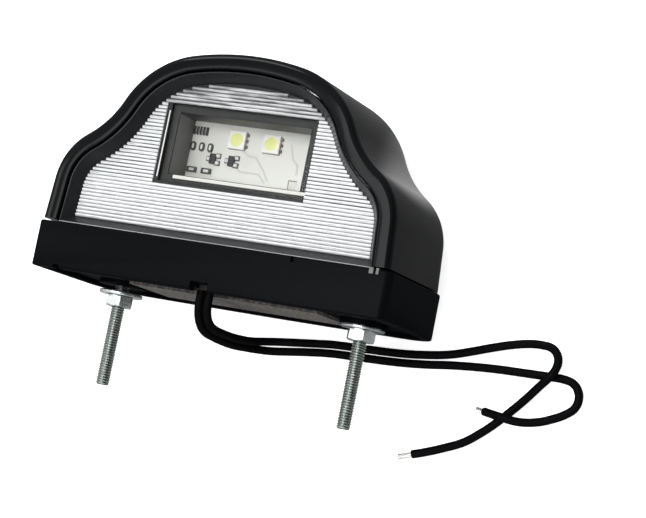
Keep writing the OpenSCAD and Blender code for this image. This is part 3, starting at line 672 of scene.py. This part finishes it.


# The ribs' white is painted: it stands for the silver plate's reflection through the clear plastic, with
# painted shade as dark lines.
rib_look = ribbed_material()
border_look = moulded("clear border over black", (0.012, 0.013, 0.014), 0.2, 0.35, 0.00002, fine=400,
                      broad=50, specular=0.2)
# A lighter grey for the foot of the border's flat top: a painted highlight along the lens's lower edge.
foot_highlight_look = moulded("painted highlight on the lens foot", (0.3, 0.31, 0.31), 0.15, 0.3, 0.00001, fine=900)
plate_points, plate_faces, plate_look = lens_plate()
plate = solid("lens_plate", plate_points, plate_faces, border_look, rib_look, foot_highlight_look, look=plate_look)
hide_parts("lens")
ridged = solid("lens_ribs", *ribs(), rib_look)

clear_look, _, shader = finish_of("clear window", (0.02, 0.02, 0.02), 0.04)
shader.inputs["Alpha"].default_value = 0.06
pane_shape = block((window_left, window_right), (window_foot, window_top), (pane_back, face_z))
pane = solid("lens_window", *pane_shape, clear_look)

# The window's edges: where the ribbed face steps down to the clear window, two pale strips are painted
# highlights: a thin one at the left, and a broad one along the window's foot.
# A pale colour on thin strips, as painted highlights on the window's edges.
window_highlight = moulded("painted highlight on the window's edges", (0.72, 0.73, 0.68), 0.2, 0.35, 0.00001, fine=900)
side_x, side_y = (window_left - 0.5, window_left - 0.2), (window_foot + 1.0, window_top - 2.2)
side_z = (face_z, face_z + 0.12)
foot_x, foot_y = (window_left + 3.9, window_right - 0.3), (window_foot + 1.2, window_foot + 2.1)
foot_z = (box_front + 0.02, box_front + 0.06)
highlight_shapes = [block(side_x, side_y, side_z), block(foot_x, foot_y, foot_z)]
window_highlights = solid("lens_edge_highlights", *together(highlight_shapes), window_highlight)

# Lugs: two small tabs of the lens's clear plastic. They reach down through the base's front wall
# at its right end, and show in it as grey marks.
lug_places = ((45.8, 46.9), (47.7, 48.4))
lug_heights = (base_h - 1.3, base_h + 0.3)
lug_depths = (depth - 1, depth + 0.03)
lug_look = moulded("clear lugs over black", (0.06, 0.065, 0.055), 0.2, 0.35, 0.00001, fine=900)
lugs = solid("lens_lugs", *together([block(x, lug_heights, lug_depths) for x in lug_places]), lug_look)

# Seals: a flat black rubber ring behind the cover's rim, and a flat pad of speckled grey-brown cork
# rubber that lies in the recess of the base, between the studs.
seal_black = moulded("black seal rubber", (0.01, 0.01, 0.011), 0.6, 0.75, 0.00003, fine=1500, specular=0.3)


def cork_material():
    """Crumbs of cork in rubber: each point's distance from its crumb's middle sets tone and height."""
    made, tree, shader = finish_of("cork rubber pad", (0.12, 0.115, 0.11), 0.85, 0.0, 0.3)
    crumbs = added(tree, "TexVoronoi", {"Vector": place(tree), "Scale": 900}).outputs["Distance"]
    tones = added(tree, "ValToRGB", {"Fac": crumbs})
    for element, position, colour in zip(
        tones.color_ramp.elements, (0.1, 0.75), ((0.16, 0.15, 0.14, 1), (0.06, 0.055, 0.05, 1))
    ):
        element.position = position
        element.color = colour
    crumbled = added(tree, "Bump", {"Distance": 0.0001, "Height": crumbs}).outputs["Normal"]
    fed(tree, shader, {"Base Color": tones.outputs["Color"], "Normal": crumbled})
    return made


def dress(material, *names):
    """Gives CAD nodes a material in place of their plain one."""
    for name in names:
        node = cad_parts[name]
        node.data.materials.clear()
        node.data.materials.append(material)


dress(seal_black, "lens_seal", "grommet")
dress(cork_material(), "base_seal")

# Reflector: a thin plate of bright metallised plastic. It lies against the back of the lens, round
# the window, and makes the ribs look silver.
silver = finish_of("metallised plate", (0.85, 0.86, 0.88), 0.15, 1.0)[0]
dress(silver, "reflector")

# Light box: a moulded black frame with soft edges that leads the light from the board to the
# window. A lug on each side takes a screw, and its back has a pocket for the board.
box_wall = 2.3
tunnel_w = box_w - 2 * box_wall
box_edge = 0.3
outer_corner, corner_shrink, least_corner = 0.9, 0.3, 0.25
corner_steps = 6
board_front = 33.3
board_lip = 1.1
board_fit = 0.2
pocket_back = 20.0
carrier_front = 30.7
side_lug_w, side_lug_h, side_lug_t, side_lug_sunk = 5.0, 8.0, 6.0, 0.2


def rounded_rectangle(x, y, w, h, r):
    """Four quarter circles of the radius r, joined by straight sides."""
    quarter = math.pi / 2
    corners = ((1, 1, 0), (-1, 1, 1), (-1, -1, 2), (1, -1, 3))
    return np.vstack([
        arc((x + sx * (w / 2 - r), y + sy * (h / 2 - r)), r, q * quarter, (q + 1) * quarter, corner_steps)
        for sx, sy, q in corners
    ])


def tunnel():
    """A rectangular ring. Its section, wall by depth, has rounded front edges and runs round the rectangle;
    the section's points give the inset and the depth of each ring. The left wall's inside takes the second
    material, a lighter grey that is painted light on that wall: it is the side between the second corner
    and the third."""
    turn = np.linspace(0, math.pi / 2, 5)
    section = [(0, carrier_front)]
    section += quarter_turn(0, box_front, box_edge, -box_edge, turn)
    section += [
        (box_wall - box_edge * (1 - math.sin(a)), box_front - box_edge * (1 - math.cos(a))) for a in turn
    ]
    section += [(box_wall, carrier_front), (0, carrier_front)]
    inside = [min(a[0], b[0]) >= box_wall for a, b in zip(section, section[1:])]
    count = 4 * corner_steps
    left_side = np.arange(count) == 2 * corner_steps - 1
    rings = []
    for inset, z in section:
        r = max(outer_corner - inset * corner_shrink, least_corner)
        outline = rounded_rectangle(box_x, box_y, box_w - 2 * inset, box_h - 2 * inset, r)
        rings.append(np.column_stack([outline, np.full(count, z)]))
    return np.vstack(rings), grid_faces(len(rings), count).tolist(), np.outer(inside, left_side).ravel()


frame_black = moulded("satin frame plastic", (0.025, 0.026, 0.026), 0.3, 0.45, 0.00003, fine=1600,
                      specular=0.2)
# The left inner wall is a lighter grey than the frame: painted light where the lamp falls on it.
painted_lit_wall = moulded("tunnel wall with painted light", (0.2, 0.2, 0.195), 0.4, 0.55, 0.00003, fine=1600, specular=0.3)
tunnel_points, tunnel_faces, tunnel_look = tunnel()
window_frame = solid("light_box_frame", tunnel_points, tunnel_faces, frame_black, painted_lit_wall,
                     look=tunnel_look)
pocket_w = tunnel_w + 2 * board_lip + 2 * board_fit
board_top = window_top - box_wall + board_lip
side_lug_y = (box_y - side_lug_h / 2, box_y + side_lug_h / 2)
side_lug_z = (carrier_front, carrier_front + side_lug_t)
left_lug = block((window_left - side_lug_w, window_left + side_lug_sunk), side_lug_y, side_lug_z)
right_lug = block((window_right - side_lug_sunk, window_right + side_lug_w), side_lug_y, side_lug_z)
pocket_x = (box_x - pocket_w / 2, box_x + pocket_w / 2)
pocket = block(pocket_x, (0, board_top + board_fit), (pocket_back, board_front))
carved(window_frame, adds=[left_lug, right_lug], cuts=[pocket])
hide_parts("light_box")

# Circuit board: a glass-fibre board with white solder mask over copper traces. The traces show
# as slightly raised, slightly darker lines.
board_t = 1.6
board_w = tunnel_w + 2 * board_lip
board_below = 5.8
board_low = window_foot - board_below
small_edge = 0.12
trace_w = 0.6
trace_sunk, trace_rise = 0.02, 0.015
traces = [
    [(-3.5, 40.6), (-0.8, 39.0), (1.3, 38.9), (4.2, 35.6), (6.0, 32.9)],
    [(-2.6, 34.5), (2.9, 34.5), (5.1, 32.4)],
    [(10.8, 43.8), (12.0, 39.8), (13.7, 38.2), (13.9, 35.6)],
    [(-4.6, 36.0), (-2.6, 34.5)],
]


def traced(line):
    """A flat strip along a bent line, half a width to either side of it, standing just off the board."""
    p = np.array(line, float)
    ahead = np.gradient(p, axis=0)
    ahead /= np.linalg.norm(ahead, axis=1)[:, None]
    across = np.column_stack([-ahead[:, 1], ahead[:, 0]]) * trace_w / 2
    low, high = board_front - trace_sunk, board_front + trace_rise
    section = ((1, low), (1, high), (-1, high), (-1, low))
    corners = [np.column_stack([p + side * across, np.full(len(p), z)]) for side, z in section]
    return np.stack(corners, 1).reshape(-1, 3), capped(len(p), 4)


def rounded_block(x, y, z, size, r):
    """A block with rounded edges. Each point of a sphere of the radius r moves out by the block's half
    size less r, in the direction of its octant; the grid has each octant's own quarter circles."""
    quarter = np.linspace(0, math.pi / 2, 4)
    lon = np.concatenate([quarter + q * math.pi / 2 for q in range(4)])
    sx = np.repeat([1, -1, -1, 1], 4)
    sy = np.repeat([1, 1, -1, -1], 4)
    lat = np.concatenate([quarter - math.pi / 2, quarter])
    sz = np.repeat([-1, 1], 4)
    half = np.array(size) / 2
    px = r * np.outer(np.cos(lat), np.cos(lon)) + sx * (half[0] - r)
    py = r * np.outer(np.cos(lat), np.sin(lon)) + sy * (half[1] - r)
    pz = (r * np.sin(lat) + sz * (half[2] - r))[:, None] + 0 * px
    return np.stack([px + x, py + y, pz + z], -1).reshape(-1, 3), capped(len(lat), len(lon))


mask_white = moulded("white solder mask", (0.83, 0.84, 0.79), 0.25, 0.4, 0.00001, fine=800, broad=120,
                     coat=0.3)
trace_look = moulded("masked copper trace", (0.66, 0.67, 0.62), 0.25, 0.4, 0.00001, fine=800)
board_size = (board_w, board_top - board_low, board_t)
board_middle = (box_x, (board_low + board_top) / 2, board_front - board_t / 2)
board = solid("board_sheet", *rounded_block(*board_middle, board_size, small_edge), mask_white)
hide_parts("circuit_board")
lines = solid("board_traces", *together([traced(line) for line in traces]), trace_look)

# LEDs: square white plastic bodies, soldered flat to the board. Each has a round cup that is
# filled with yellow-green phosphor gel.
led_w, led_h = 5.0, 0.85
led_edge = 0.18
cup_floor, cup_cut_top = 0.45, 2.0
phosphor_r = 1.9
gel_sunk, gel_rise, gel_deep = 0.06, 0.05, 0.25
led_places = [(-5.0, 42.9), (5.3, 42.9)]


def standing(outline, low, high):
    """A plate with one outline in x and y, between two heights over the board."""
    rings = [np.column_stack([outline, np.full(len(outline), board_front + z)]) for z in (low, high)]
    return np.vstack(rings), capped(2, len(outline))


def dome(x, y, z, r, rise):
    """A shallow gel cap: a disc whose height falls with the square of the radius, closed below."""
    rings, sides = 8, 32
    s = np.linspace(0.06, 1, rings)
    a = np.linspace(0, 2 * math.pi, sides, endpoint=False)
    px, py = x + r * np.outer(s, np.cos(a)), y + r * np.outer(s, np.sin(a))
    pz = z + rise * (1 - s[:, None] ** 2) + 0 * px
    foot = np.column_stack([px[-1], py[-1], np.full(sides, z - gel_deep)])
    return np.vstack([np.stack([px, py, pz], -1).reshape(-1, 3), foot]), capped(rings + 1, sides)


led_white = moulded("white LED body", (0.98, 0.98, 0.93), 0.3, 0.42, 0.00001, fine=900)
gel, _, shader = finish_of("phosphor gel", (0.88, 0.93, 0.37), 0.18, coat=0.5)
shader.inputs["Subsurface Weight"].default_value = 0.2
shader.inputs["Subsurface Radius"].default_value = (0.001, 0.001, 0.0004)
for (x, y), side in zip(led_places, ("left", "right")):
    body_shape = rounded_block(x, y, board_front + led_h / 2, (led_w, led_w, led_h), led_edge)
    body = solid("led_" + side + "_body", *body_shape, led_white)
    carved(body, cuts=[standing(circle_of(x, y, phosphor_r, bar_sides), cup_floor, cup_cut_top)])
    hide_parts("led_" + side)
    cap_shape = dome(x, y, board_front + led_h - gel_sunk, phosphor_r, gel_rise)
    cap = solid("phosphor_" + side + "_gel", *cap_shape, gel)
    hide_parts("phosphor_" + side)

# Small parts on the board, soldered flat: the driver chip with its row of legs, capacitors with
# round ends, transistors on tinned pads, resistors, a test pad, the LEDs' contacts and the leads'
# two joints.
parts_left = box_x - tunnel_w / 2
solder = moulded("tinned pads and solder", (0.8, 0.8, 0.78), 0.2, 0.4, 0.00002, fine=1500, specular=0.7)
epoxy = moulded("black epoxy", (0.03, 0.03, 0.031), 0.35, 0.5, 0.00002, specular=0.4)
chip_grey = moulded("light grey chip", (0.3, 0.3, 0.28), 0.35, 0.5, 0.00002, specular=0.4)
ceramic = moulded("grey ceramic", (0.06, 0.057, 0.052), 0.3, 0.45, 0.00001, fine=1800)
pale = moulded("pale print", (0.8, 0.8, 0.76), 0.3, 0.5, 0.00001)
flux = moulded("browned contacts", (0.16, 0.12, 0.09), 0.25, 0.4, 0.00002, fine=1800)
# A brown for the plates under the LEDs, which is painted shade along their sides.
led_painted_shade = moulded("painted shade beside the LEDs", (0.42, 0.35, 0.3), 0.35, 0.5, 0.00002, fine=1800)


def on_board(x, y, size, low=0.0, r=small_edge):
    """A rounded block that stands on the board, or at a height above it."""
    return rounded_block(x, y, board_front + low + size[2] / 2, size, min(r, 0.45 * min(size)))


def oval_plate(x, y, w, h, low, high):
    """A plate with round ends above and below, w across and h high, between two heights."""
    return standing(oval(0, 0, h, w)[:, ::-1] + [x, y], low, high)


def small(name, node, shapes, material):
    """A group of small parts on the board as one piece, which stands for a CAD node where one is named."""
    made = solid(name, *together(shapes), material)
    if node:
        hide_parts(node)


# Under each LED lies a brown plate, shifted to the right and down: painted shade along the LED's right and
# lower sides.
shade_plate_size, shade_plate_shift = (5.1, 5.1, 0.3), (0.22, -0.15)
shade_plates = [on_board(x + shade_plate_shift[0], y + shade_plate_shift[1], shade_plate_size) for x, y in led_places]
small("led_shade_plates", None, shade_plates, led_painted_shade)
tab_size, tab_out, tab_pitch = (0.7, 0.9, 0.4), 0.35, 1.6
tab_places = [(x + led_w / 2 + tab_out, y + row * tab_pitch) for x, y in led_places for row in (-1, 0, 1)]
tabs = [on_board(x, y, tab_size) for x, y in tab_places]
small("contact_tabs", "led_contacts", tabs, flux)

chip_x, chip_y = parts_left + 2.4, box_y + 5.7
chip_size = (3.8, 1.3, 0.5)
leg_size, leg_pitch = (0.4, 2.3, 0.8), 0.95
legs = [on_board(chip_x + leg_pitch * i, chip_y, leg_size) for i in range(-2, 3)]
small("chip_body", "driver_chip", [on_board(chip_x, chip_y, chip_size)], chip_grey)
small("chip_legs", None, legs, epoxy)

capacitor_x = [parts_left + x for x in (0.9, 3.5, 6.1)]
capacitor_y = box_y + 1.4
ring_size, ring_heights = (1.5, 2.5), (0, 0.55)
top_size, top_heights = (0.6, 1.4), (0.5, 0.6)
cap_rings = [oval_plate(x, capacitor_y, *ring_size, *ring_heights) for x in capacitor_x]
cap_tops = [oval_plate(x, capacitor_y, *top_size, *top_heights) for x in capacitor_x]
small("capacitor_rings", "capacitors", cap_rings, ceramic)
small("capacitor_tops", None, cap_tops, pale)

transistor_x = [parts_left + x for x in (7.6, 13.2)]
transistor_y = box_y - 1.5
transistor_size, pin_size = (1.7, 2.8, 1.0), (1.1, 0.9, 0.6)
pin_edge_size, pin_edge_r = (1.6, 1.4, 0.2), 0.05
pin_shifts = ((1.35, -1), (1.35, 1), (-1.35, 0))
pins = [(x + dx, transistor_y + dy) for x in transistor_x for dx, dy in pin_shifts]
transistor_bodies = [on_board(x, transistor_y, transistor_size) for x in transistor_x]
pin_tops = [on_board(x, y, pin_size) for x, y in pins]
pin_edges = [on_board(x, y, pin_edge_size, r=pin_edge_r) for x, y in pins]
small("transistor_bodies", "transistors", transistor_bodies, epoxy)
small("transistor_pins", "transistor_leads", pin_tops, solder)
small("transistor_edges", None, pin_edges, ceramic)

resistor_x = [parts_left + x for x in (1.8, 6.2)]
resistor_y = box_y - 5
resistor_size = (3, 1.5, 0.6)
# Each resistor's pale top plate is a painted highlight along its body.
resistor_highlight_size, resistor_highlight_low = (1.5, 0.7, 0.15), 0.5
resistor_bodies = [on_board(x, resistor_y, resistor_size) for x in resistor_x]
resistor_highlights = [on_board(x, resistor_y, resistor_highlight_size, resistor_highlight_low) for x in resistor_x]
small("resistor_bodies", "resistors", resistor_bodies, ceramic)
small("resistor_highlights", None, resistor_highlights, pale)

pad_x, pad_y = box_x + tunnel_w / 2 - 6.7, box_y - 5.8
pad_size, pad_r = (2.3, 2.3, 0.1), 0.04
outline_size, outline_r, outline_shift = (2.5, 2.5, 0.06), 0.02, 0.12
pad_print = on_board(pad_x, pad_y, pad_size, r=pad_r)
pad_outline = on_board(pad_x - outline_shift, pad_y + outline_shift, outline_size, r=outline_r)
small("pad_print", "test_pad", [pad_print], pale)
small("pad_outline", None, [pad_outline], ceramic)
dress(solder, "solder_joints")

# Carrier and screws: a black bracket behind the board that stands on two bosses of the base; the
# screws are plated steel. Inside, the leads run up from the rubber bush to the board.
carrier_black = moulded("matt carrier plastic", (0.02, 0.021, 0.022), 0.45, 0.6, 0.00005, fine=1500)
dress(carrier_black, "board_carrier")
plated = moulded("plated screws", (0.5, 0.5, 0.5), 0.25, 0.4, 0.00001, fine=3000, specular=0.9)
dress(plated, "carrier_screws", "module_screws")
dress(insulation, "inner_leads")

# Studs, nuts and washers: M4 steel studs, zinc plated and dulled, with their hexagon heads sunk in
# the bosses; bright nuts with chamfered corners, and plain punched washers.
stud_tip = -27.6
thread_pitch = 0.7
thread_deep = 0.36
thread_top = 5.6
thread_rows, thread_sides = 10, 40
flank_steep, root_flat = 2.4, 0.2
shank_thin = 0.02
tip_chamfer, tip_slope = 0.55, 0.9
head_low = 5.5
hex_af = 7.0
hex_sides = 72
cone_share, cone_slope = 0.97, 0.577
chamfer_rises = (0, 0.12, 0.25, 0.4)
nut_t = 3.2
bore_chamfer = 0.25
washer_t, washer_r, hole_r = 1.0, 6.0, 2.15
washer_edge, hole_edge = 0.2, 0.1
washer_sides = 64
thread_shade_tone, thread_shade_end = 0.34, 0.08


def threaded(x, low, high):
    """A screw thread: at each height and angle the radius is the outer one less a triangle wave of
    (height / pitch - angle / turn). It fades out over the last turn, and the tip is chamfered."""
    rows = int((high - low) / thread_pitch * thread_rows)
    y = np.linspace(low, high, rows)[:, None]
    a = np.linspace(0, 2 * math.pi, thread_sides, endpoint=False)[None]
    phase = np.mod(y / thread_pitch - a / (2 * math.pi), 1)
    wave = np.clip(np.abs(phase - 0.5) * flank_steep - root_flat, 0, 1)
    fade = np.clip((high - y) / thread_pitch, 0, 1)
    r = (stud_d / 2 - thread_deep * (1 - wave)) * fade + (stud_d / 2 - shank_thin) * (1 - fade)
    r = np.minimum(r, stud_d / 2 - tip_chamfer + (y - low) * tip_slope)
    points = np.stack([x + r * np.cos(a), y + 0 * r, stud_z + r * np.sin(a)], -1).reshape(-1, 3)
    return points, capped(rows, thread_sides)


def turned(x, sides, rows):
    """Rings round a stud's axis, each with a height and a radius, which may change with the angle."""
    a = np.linspace(0, 2 * math.pi, sides, endpoint=False)
    return np.vstack([
        np.column_stack([x + r * np.cos(a), np.full(sides, y), stud_z + r * np.sin(a)]) for y, r in rows
    ])


def hexagon(x, low, high, bore):
    """A hexagon with chamfered ends. Its radius at each angle is the flat's distance over the cosine
    from that flat's middle, cut by a cone near both ends; a bore of the same grid closes it inside."""
    a = np.linspace(0, 2 * math.pi, hex_sides, endpoint=False)
    six = hex_af / 2 / np.cos(np.mod(a, math.pi / 3) - math.pi / 6)
    cone = hex_af / 2 * cone_share
    ends = [(rise, np.minimum(six, cone + rise / cone_slope)) for rise in chamfer_rises]
    rows = [(low + rise, r) for rise, r in ends] + [(high - rise, r) for rise, r in ends[::-1]]
    if not bore:
        return turned(x, hex_sides, rows), capped(len(rows), hex_sides)
    foot = (low + bore_chamfer, bore)
    rows = [foot, (low, bore + bore_chamfer)] + rows
    rows += [(high, bore + bore_chamfer), (high - bore_chamfer, bore), foot]
    return turned(x, hex_sides, rows), grid_faces(len(rows), hex_sides).tolist()


def washer(x, low):
    """A flat ring whose section is a rectangle with rounded corners, turned round the stud."""
    high = low + washer_t
    turn = np.linspace(0, math.pi / 2, 4)
    rises, falls = washer_edge * (1 - np.cos(turn)), washer_edge * (1 - np.sin(turn))
    rows = [(low + rise, washer_r - fall) for rise, fall in zip(rises, falls)]
    rows += [(high - fall, washer_r - rise) for rise, fall in zip(rises, falls)]
    rows += [(high, hole_r + hole_edge), (high - hole_edge, hole_r)]
    rows += [(low + hole_edge, hole_r), (low, hole_r + hole_edge), rows[0]]
    return turned(x, washer_sides, rows), grid_faces(len(rows), washer_sides).tolist()


def zinc(name, colour, smooth, dull):
    """Zinc plate: a metal whose tone and gloss change in soft clouds, as plated steel does. Where the
    distance from the stud's axis, the root of (|x| - stud_x)^2 + (z - stud_z)^2, is small, it is darker:
    painted shade in the valleys of the thread."""
    made, tree, shader = finish_of(name, colour, smooth, 1.0)
    grain = skinned(tree, 2200, 260, smooth, dull)
    tone = mixed(tree, grain.outputs["Height"], [0.8 * c for c in colour], colour)
    parts = added(tree, "SeparateXYZ", {"Vector": place(tree)}).outputs
    across = worked(tree, "SUBTRACT", worked(tree, "ABSOLUTE", parts["X"]), stud_x * mm)
    deep = worked(tree, "SUBTRACT", parts["Z"], stud_z * mm)
    squares = [worked(tree, "MULTIPLY", part, part) for part in (across, deep)]
    away = worked(tree, "SQRT", worked(tree, "ADD", *squares))
    root, crest_shade = (stud_d / 2 - thread_deep) * mm, (stud_d / 2 - thread_shade_end) * mm
    # Painted shade: the colour darkens towards the thread's root.
    valley_shade = between(tree, away, root, crest_shade, thread_shade_tone)
    shade = added(tree, "VectorMath", {0: tone, "Scale": valley_shade}, operation="SCALE").outputs["Vector"]
    fed(tree, shader, {"Base Color": shade, "Roughness": grain.outputs["Roughness"]})
    return made


dull_zinc = zinc("dulled zinc thread", (0.53, 0.58, 0.55), 0.24, 0.36)
bright_zinc = zinc("bright zinc plate", (0.62, 0.65, 0.65), 0.16, 0.3)
for x, name, slack in zip(stud_places, ("left", "right"), (1.6, 0.0)):
    thread_and_head = together([threaded(x, stud_tip, thread_top), hexagon(x, head_low, boss_top, 0)])
    stud = solid("stud_" + name + "_thread", *thread_and_head, dull_zinc, sharp=40)
    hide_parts("stud_" + name)
    nut_top = -slack - washer_t
    ring = solid("washer_" + name + "_ring", *washer(x, nut_top), bright_zinc)
    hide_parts("washer_" + name)
    nut = solid("nut_" + name + "_hexagon", *hexagon(x, nut_top - nut_t, nut_top, stud_d / 2), bright_zinc)
    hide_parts("nut_" + name)

# Room: a white floor and a white background, as on the photograph's plain ground, and four soft
# lamps. They aren't part of the lamp.
floor_side = 3.0
floor_low = -0.0003
paper_white, paper_in_gloss = (0.8, 0.8, 0.8), (0.3, 0.3, 0.3)
# Where and how strongly the paper glows in a gloss, to paint a highlight on the cover's neck.
neck_highlight_at = (0.034, 0.028)
neck_highlight_core, neck_highlight_r, neck_highlight_level = 0.004, 0.018, 1.3
paper_glow, paper_glow_in_gloss = 0.75, 0.15
world_white, world_level = 1.0, 0.45
dark_from, dark_to, dark_share = 0.2, 0.8, 0.75


def seen(tree, camera_level, gloss_level, other_level):
    """Other level plus, for rays from the camera or a clear piece, what the camera level has over it,
    and the same for rays from a gloss with the gloss level."""
    path = added(tree, "LightPath", {}).outputs
    value = other_level
    for kind, level in (("Camera", camera_level), ("Transmission", camera_level), ("Glossy", gloss_level)):
        value = worked(tree, "MULTIPLY_ADD", path["Is " + kind + " Ray"], level - other_level, value)
    return value


def white_paper():
    """Matt paper that takes the lamp's shadow. For the rays that seen() marks it also glows, so that it is
    white where the light falls on it and pale where the shadow lies. In a gloss it is darker, apart from a
    glowing spot beside the cover's neck that only a gloss sees; it paints a highlight on the neck."""
    made, tree, shader = finish_of("white paper", paper_white, 0.95, 0.0, 0.0)
    in_gloss = added(tree, "LightPath", {}).outputs["Is Glossy Ray"]
    ends = {0: place(tree), 1: (*neck_highlight_at, 0)}
    away = added(tree, "VectorMath", ends, operation="DISTANCE").outputs["Value"]
    # A glowing spot on the paper, seen only in a gloss, paints a highlight on the cover's neck.
    neck_highlight = between(tree, away, neck_highlight_core, neck_highlight_r, neck_highlight_level, 0.0, interpolation_type="SMOOTHSTEP")
    glow = worked(tree, "MULTIPLY_ADD", neck_highlight, in_gloss, seen(tree, paper_glow, paper_glow_in_gloss, 0.0))
    tone = mixed(tree, in_gloss, paper_white, paper_in_gloss)
    fed(tree, shader, {"Base Color": tone, "Emission Color": (1, 1, 1, 1), "Emission Strength": glow})
    return made


def soft_lamp(name, at, size, watts):
    """A soft rectangular lamp at a place, facing the object."""
    light = bpy.data.lights.new(name, "AREA")
    light.shape = "RECTANGLE"
    light.size, light.size_y = size
    light.energy = watts
    made = bpy.data.objects.new(name, light)
    made.location = at
    made.rotation_euler = (Vector((0, 0, 0.02)) - Vector(at)).to_track_quat("-Z", "Y").to_euler()
    bpy.context.scene.collection.objects.link(made)


def white_world():
    """A white background. What a gloss mirrors gets darker towards the right, where the lamp's side
    would otherwise turn grey."""
    world = bpy.data.worlds.new("white")
    world.use_nodes = True
    tree = world.node_tree
    direction = added(tree, "TexCoord", {}).outputs["Generated"]
    to_right = added(tree, "SeparateXYZ", {"Vector": direction}).outputs["X"]
    dark_side = between(tree, to_right, dark_from, dark_to, 0.0, dark_share)
    dimmed = worked(tree, "MULTIPLY", dark_side, added(tree, "LightPath", {}).outputs["Is Glossy Ray"])
    level = worked(tree, "SUBTRACT", seen(tree, world_white, world_white, world_level), dimmed)
    fed(tree, tree.nodes["Background"], {"Color": (1, 1, 1, 1), "Strength": level})
    return world


floor_mesh = bpy.data.meshes.new("floor")
corners = [(x * floor_side, y * floor_side, floor_low) for x, y in ((-1, -1), (1, -1), (1, 1), (-1, 1))]
floor_mesh.from_pydata(corners, [], [(0, 1, 2, 3)])
floor_mesh.materials.append(white_paper())
floor = bpy.data.objects.new("floor", floor_mesh)
bpy.context.scene.collection.objects.link(floor)
soft_lamp("lamp above", (-0.45, 0.75, 0.55), (0.4, 0.4), 4)
soft_lamp("lamp in front", (-0.05, 0.05, 0.9), (0.6, 0.6), 6)
soft_lamp("lamp left", (-0.7, 0.1, 0.7), (0.15, 0.3), 0.8)
soft_lamp("lamp below", (0.1, -0.75, 0.35), (0.5, 0.3), 1.5)
bpy.context.scene.world = white_world()
bpy.context.scene.view_settings.view_transform = "Standard"
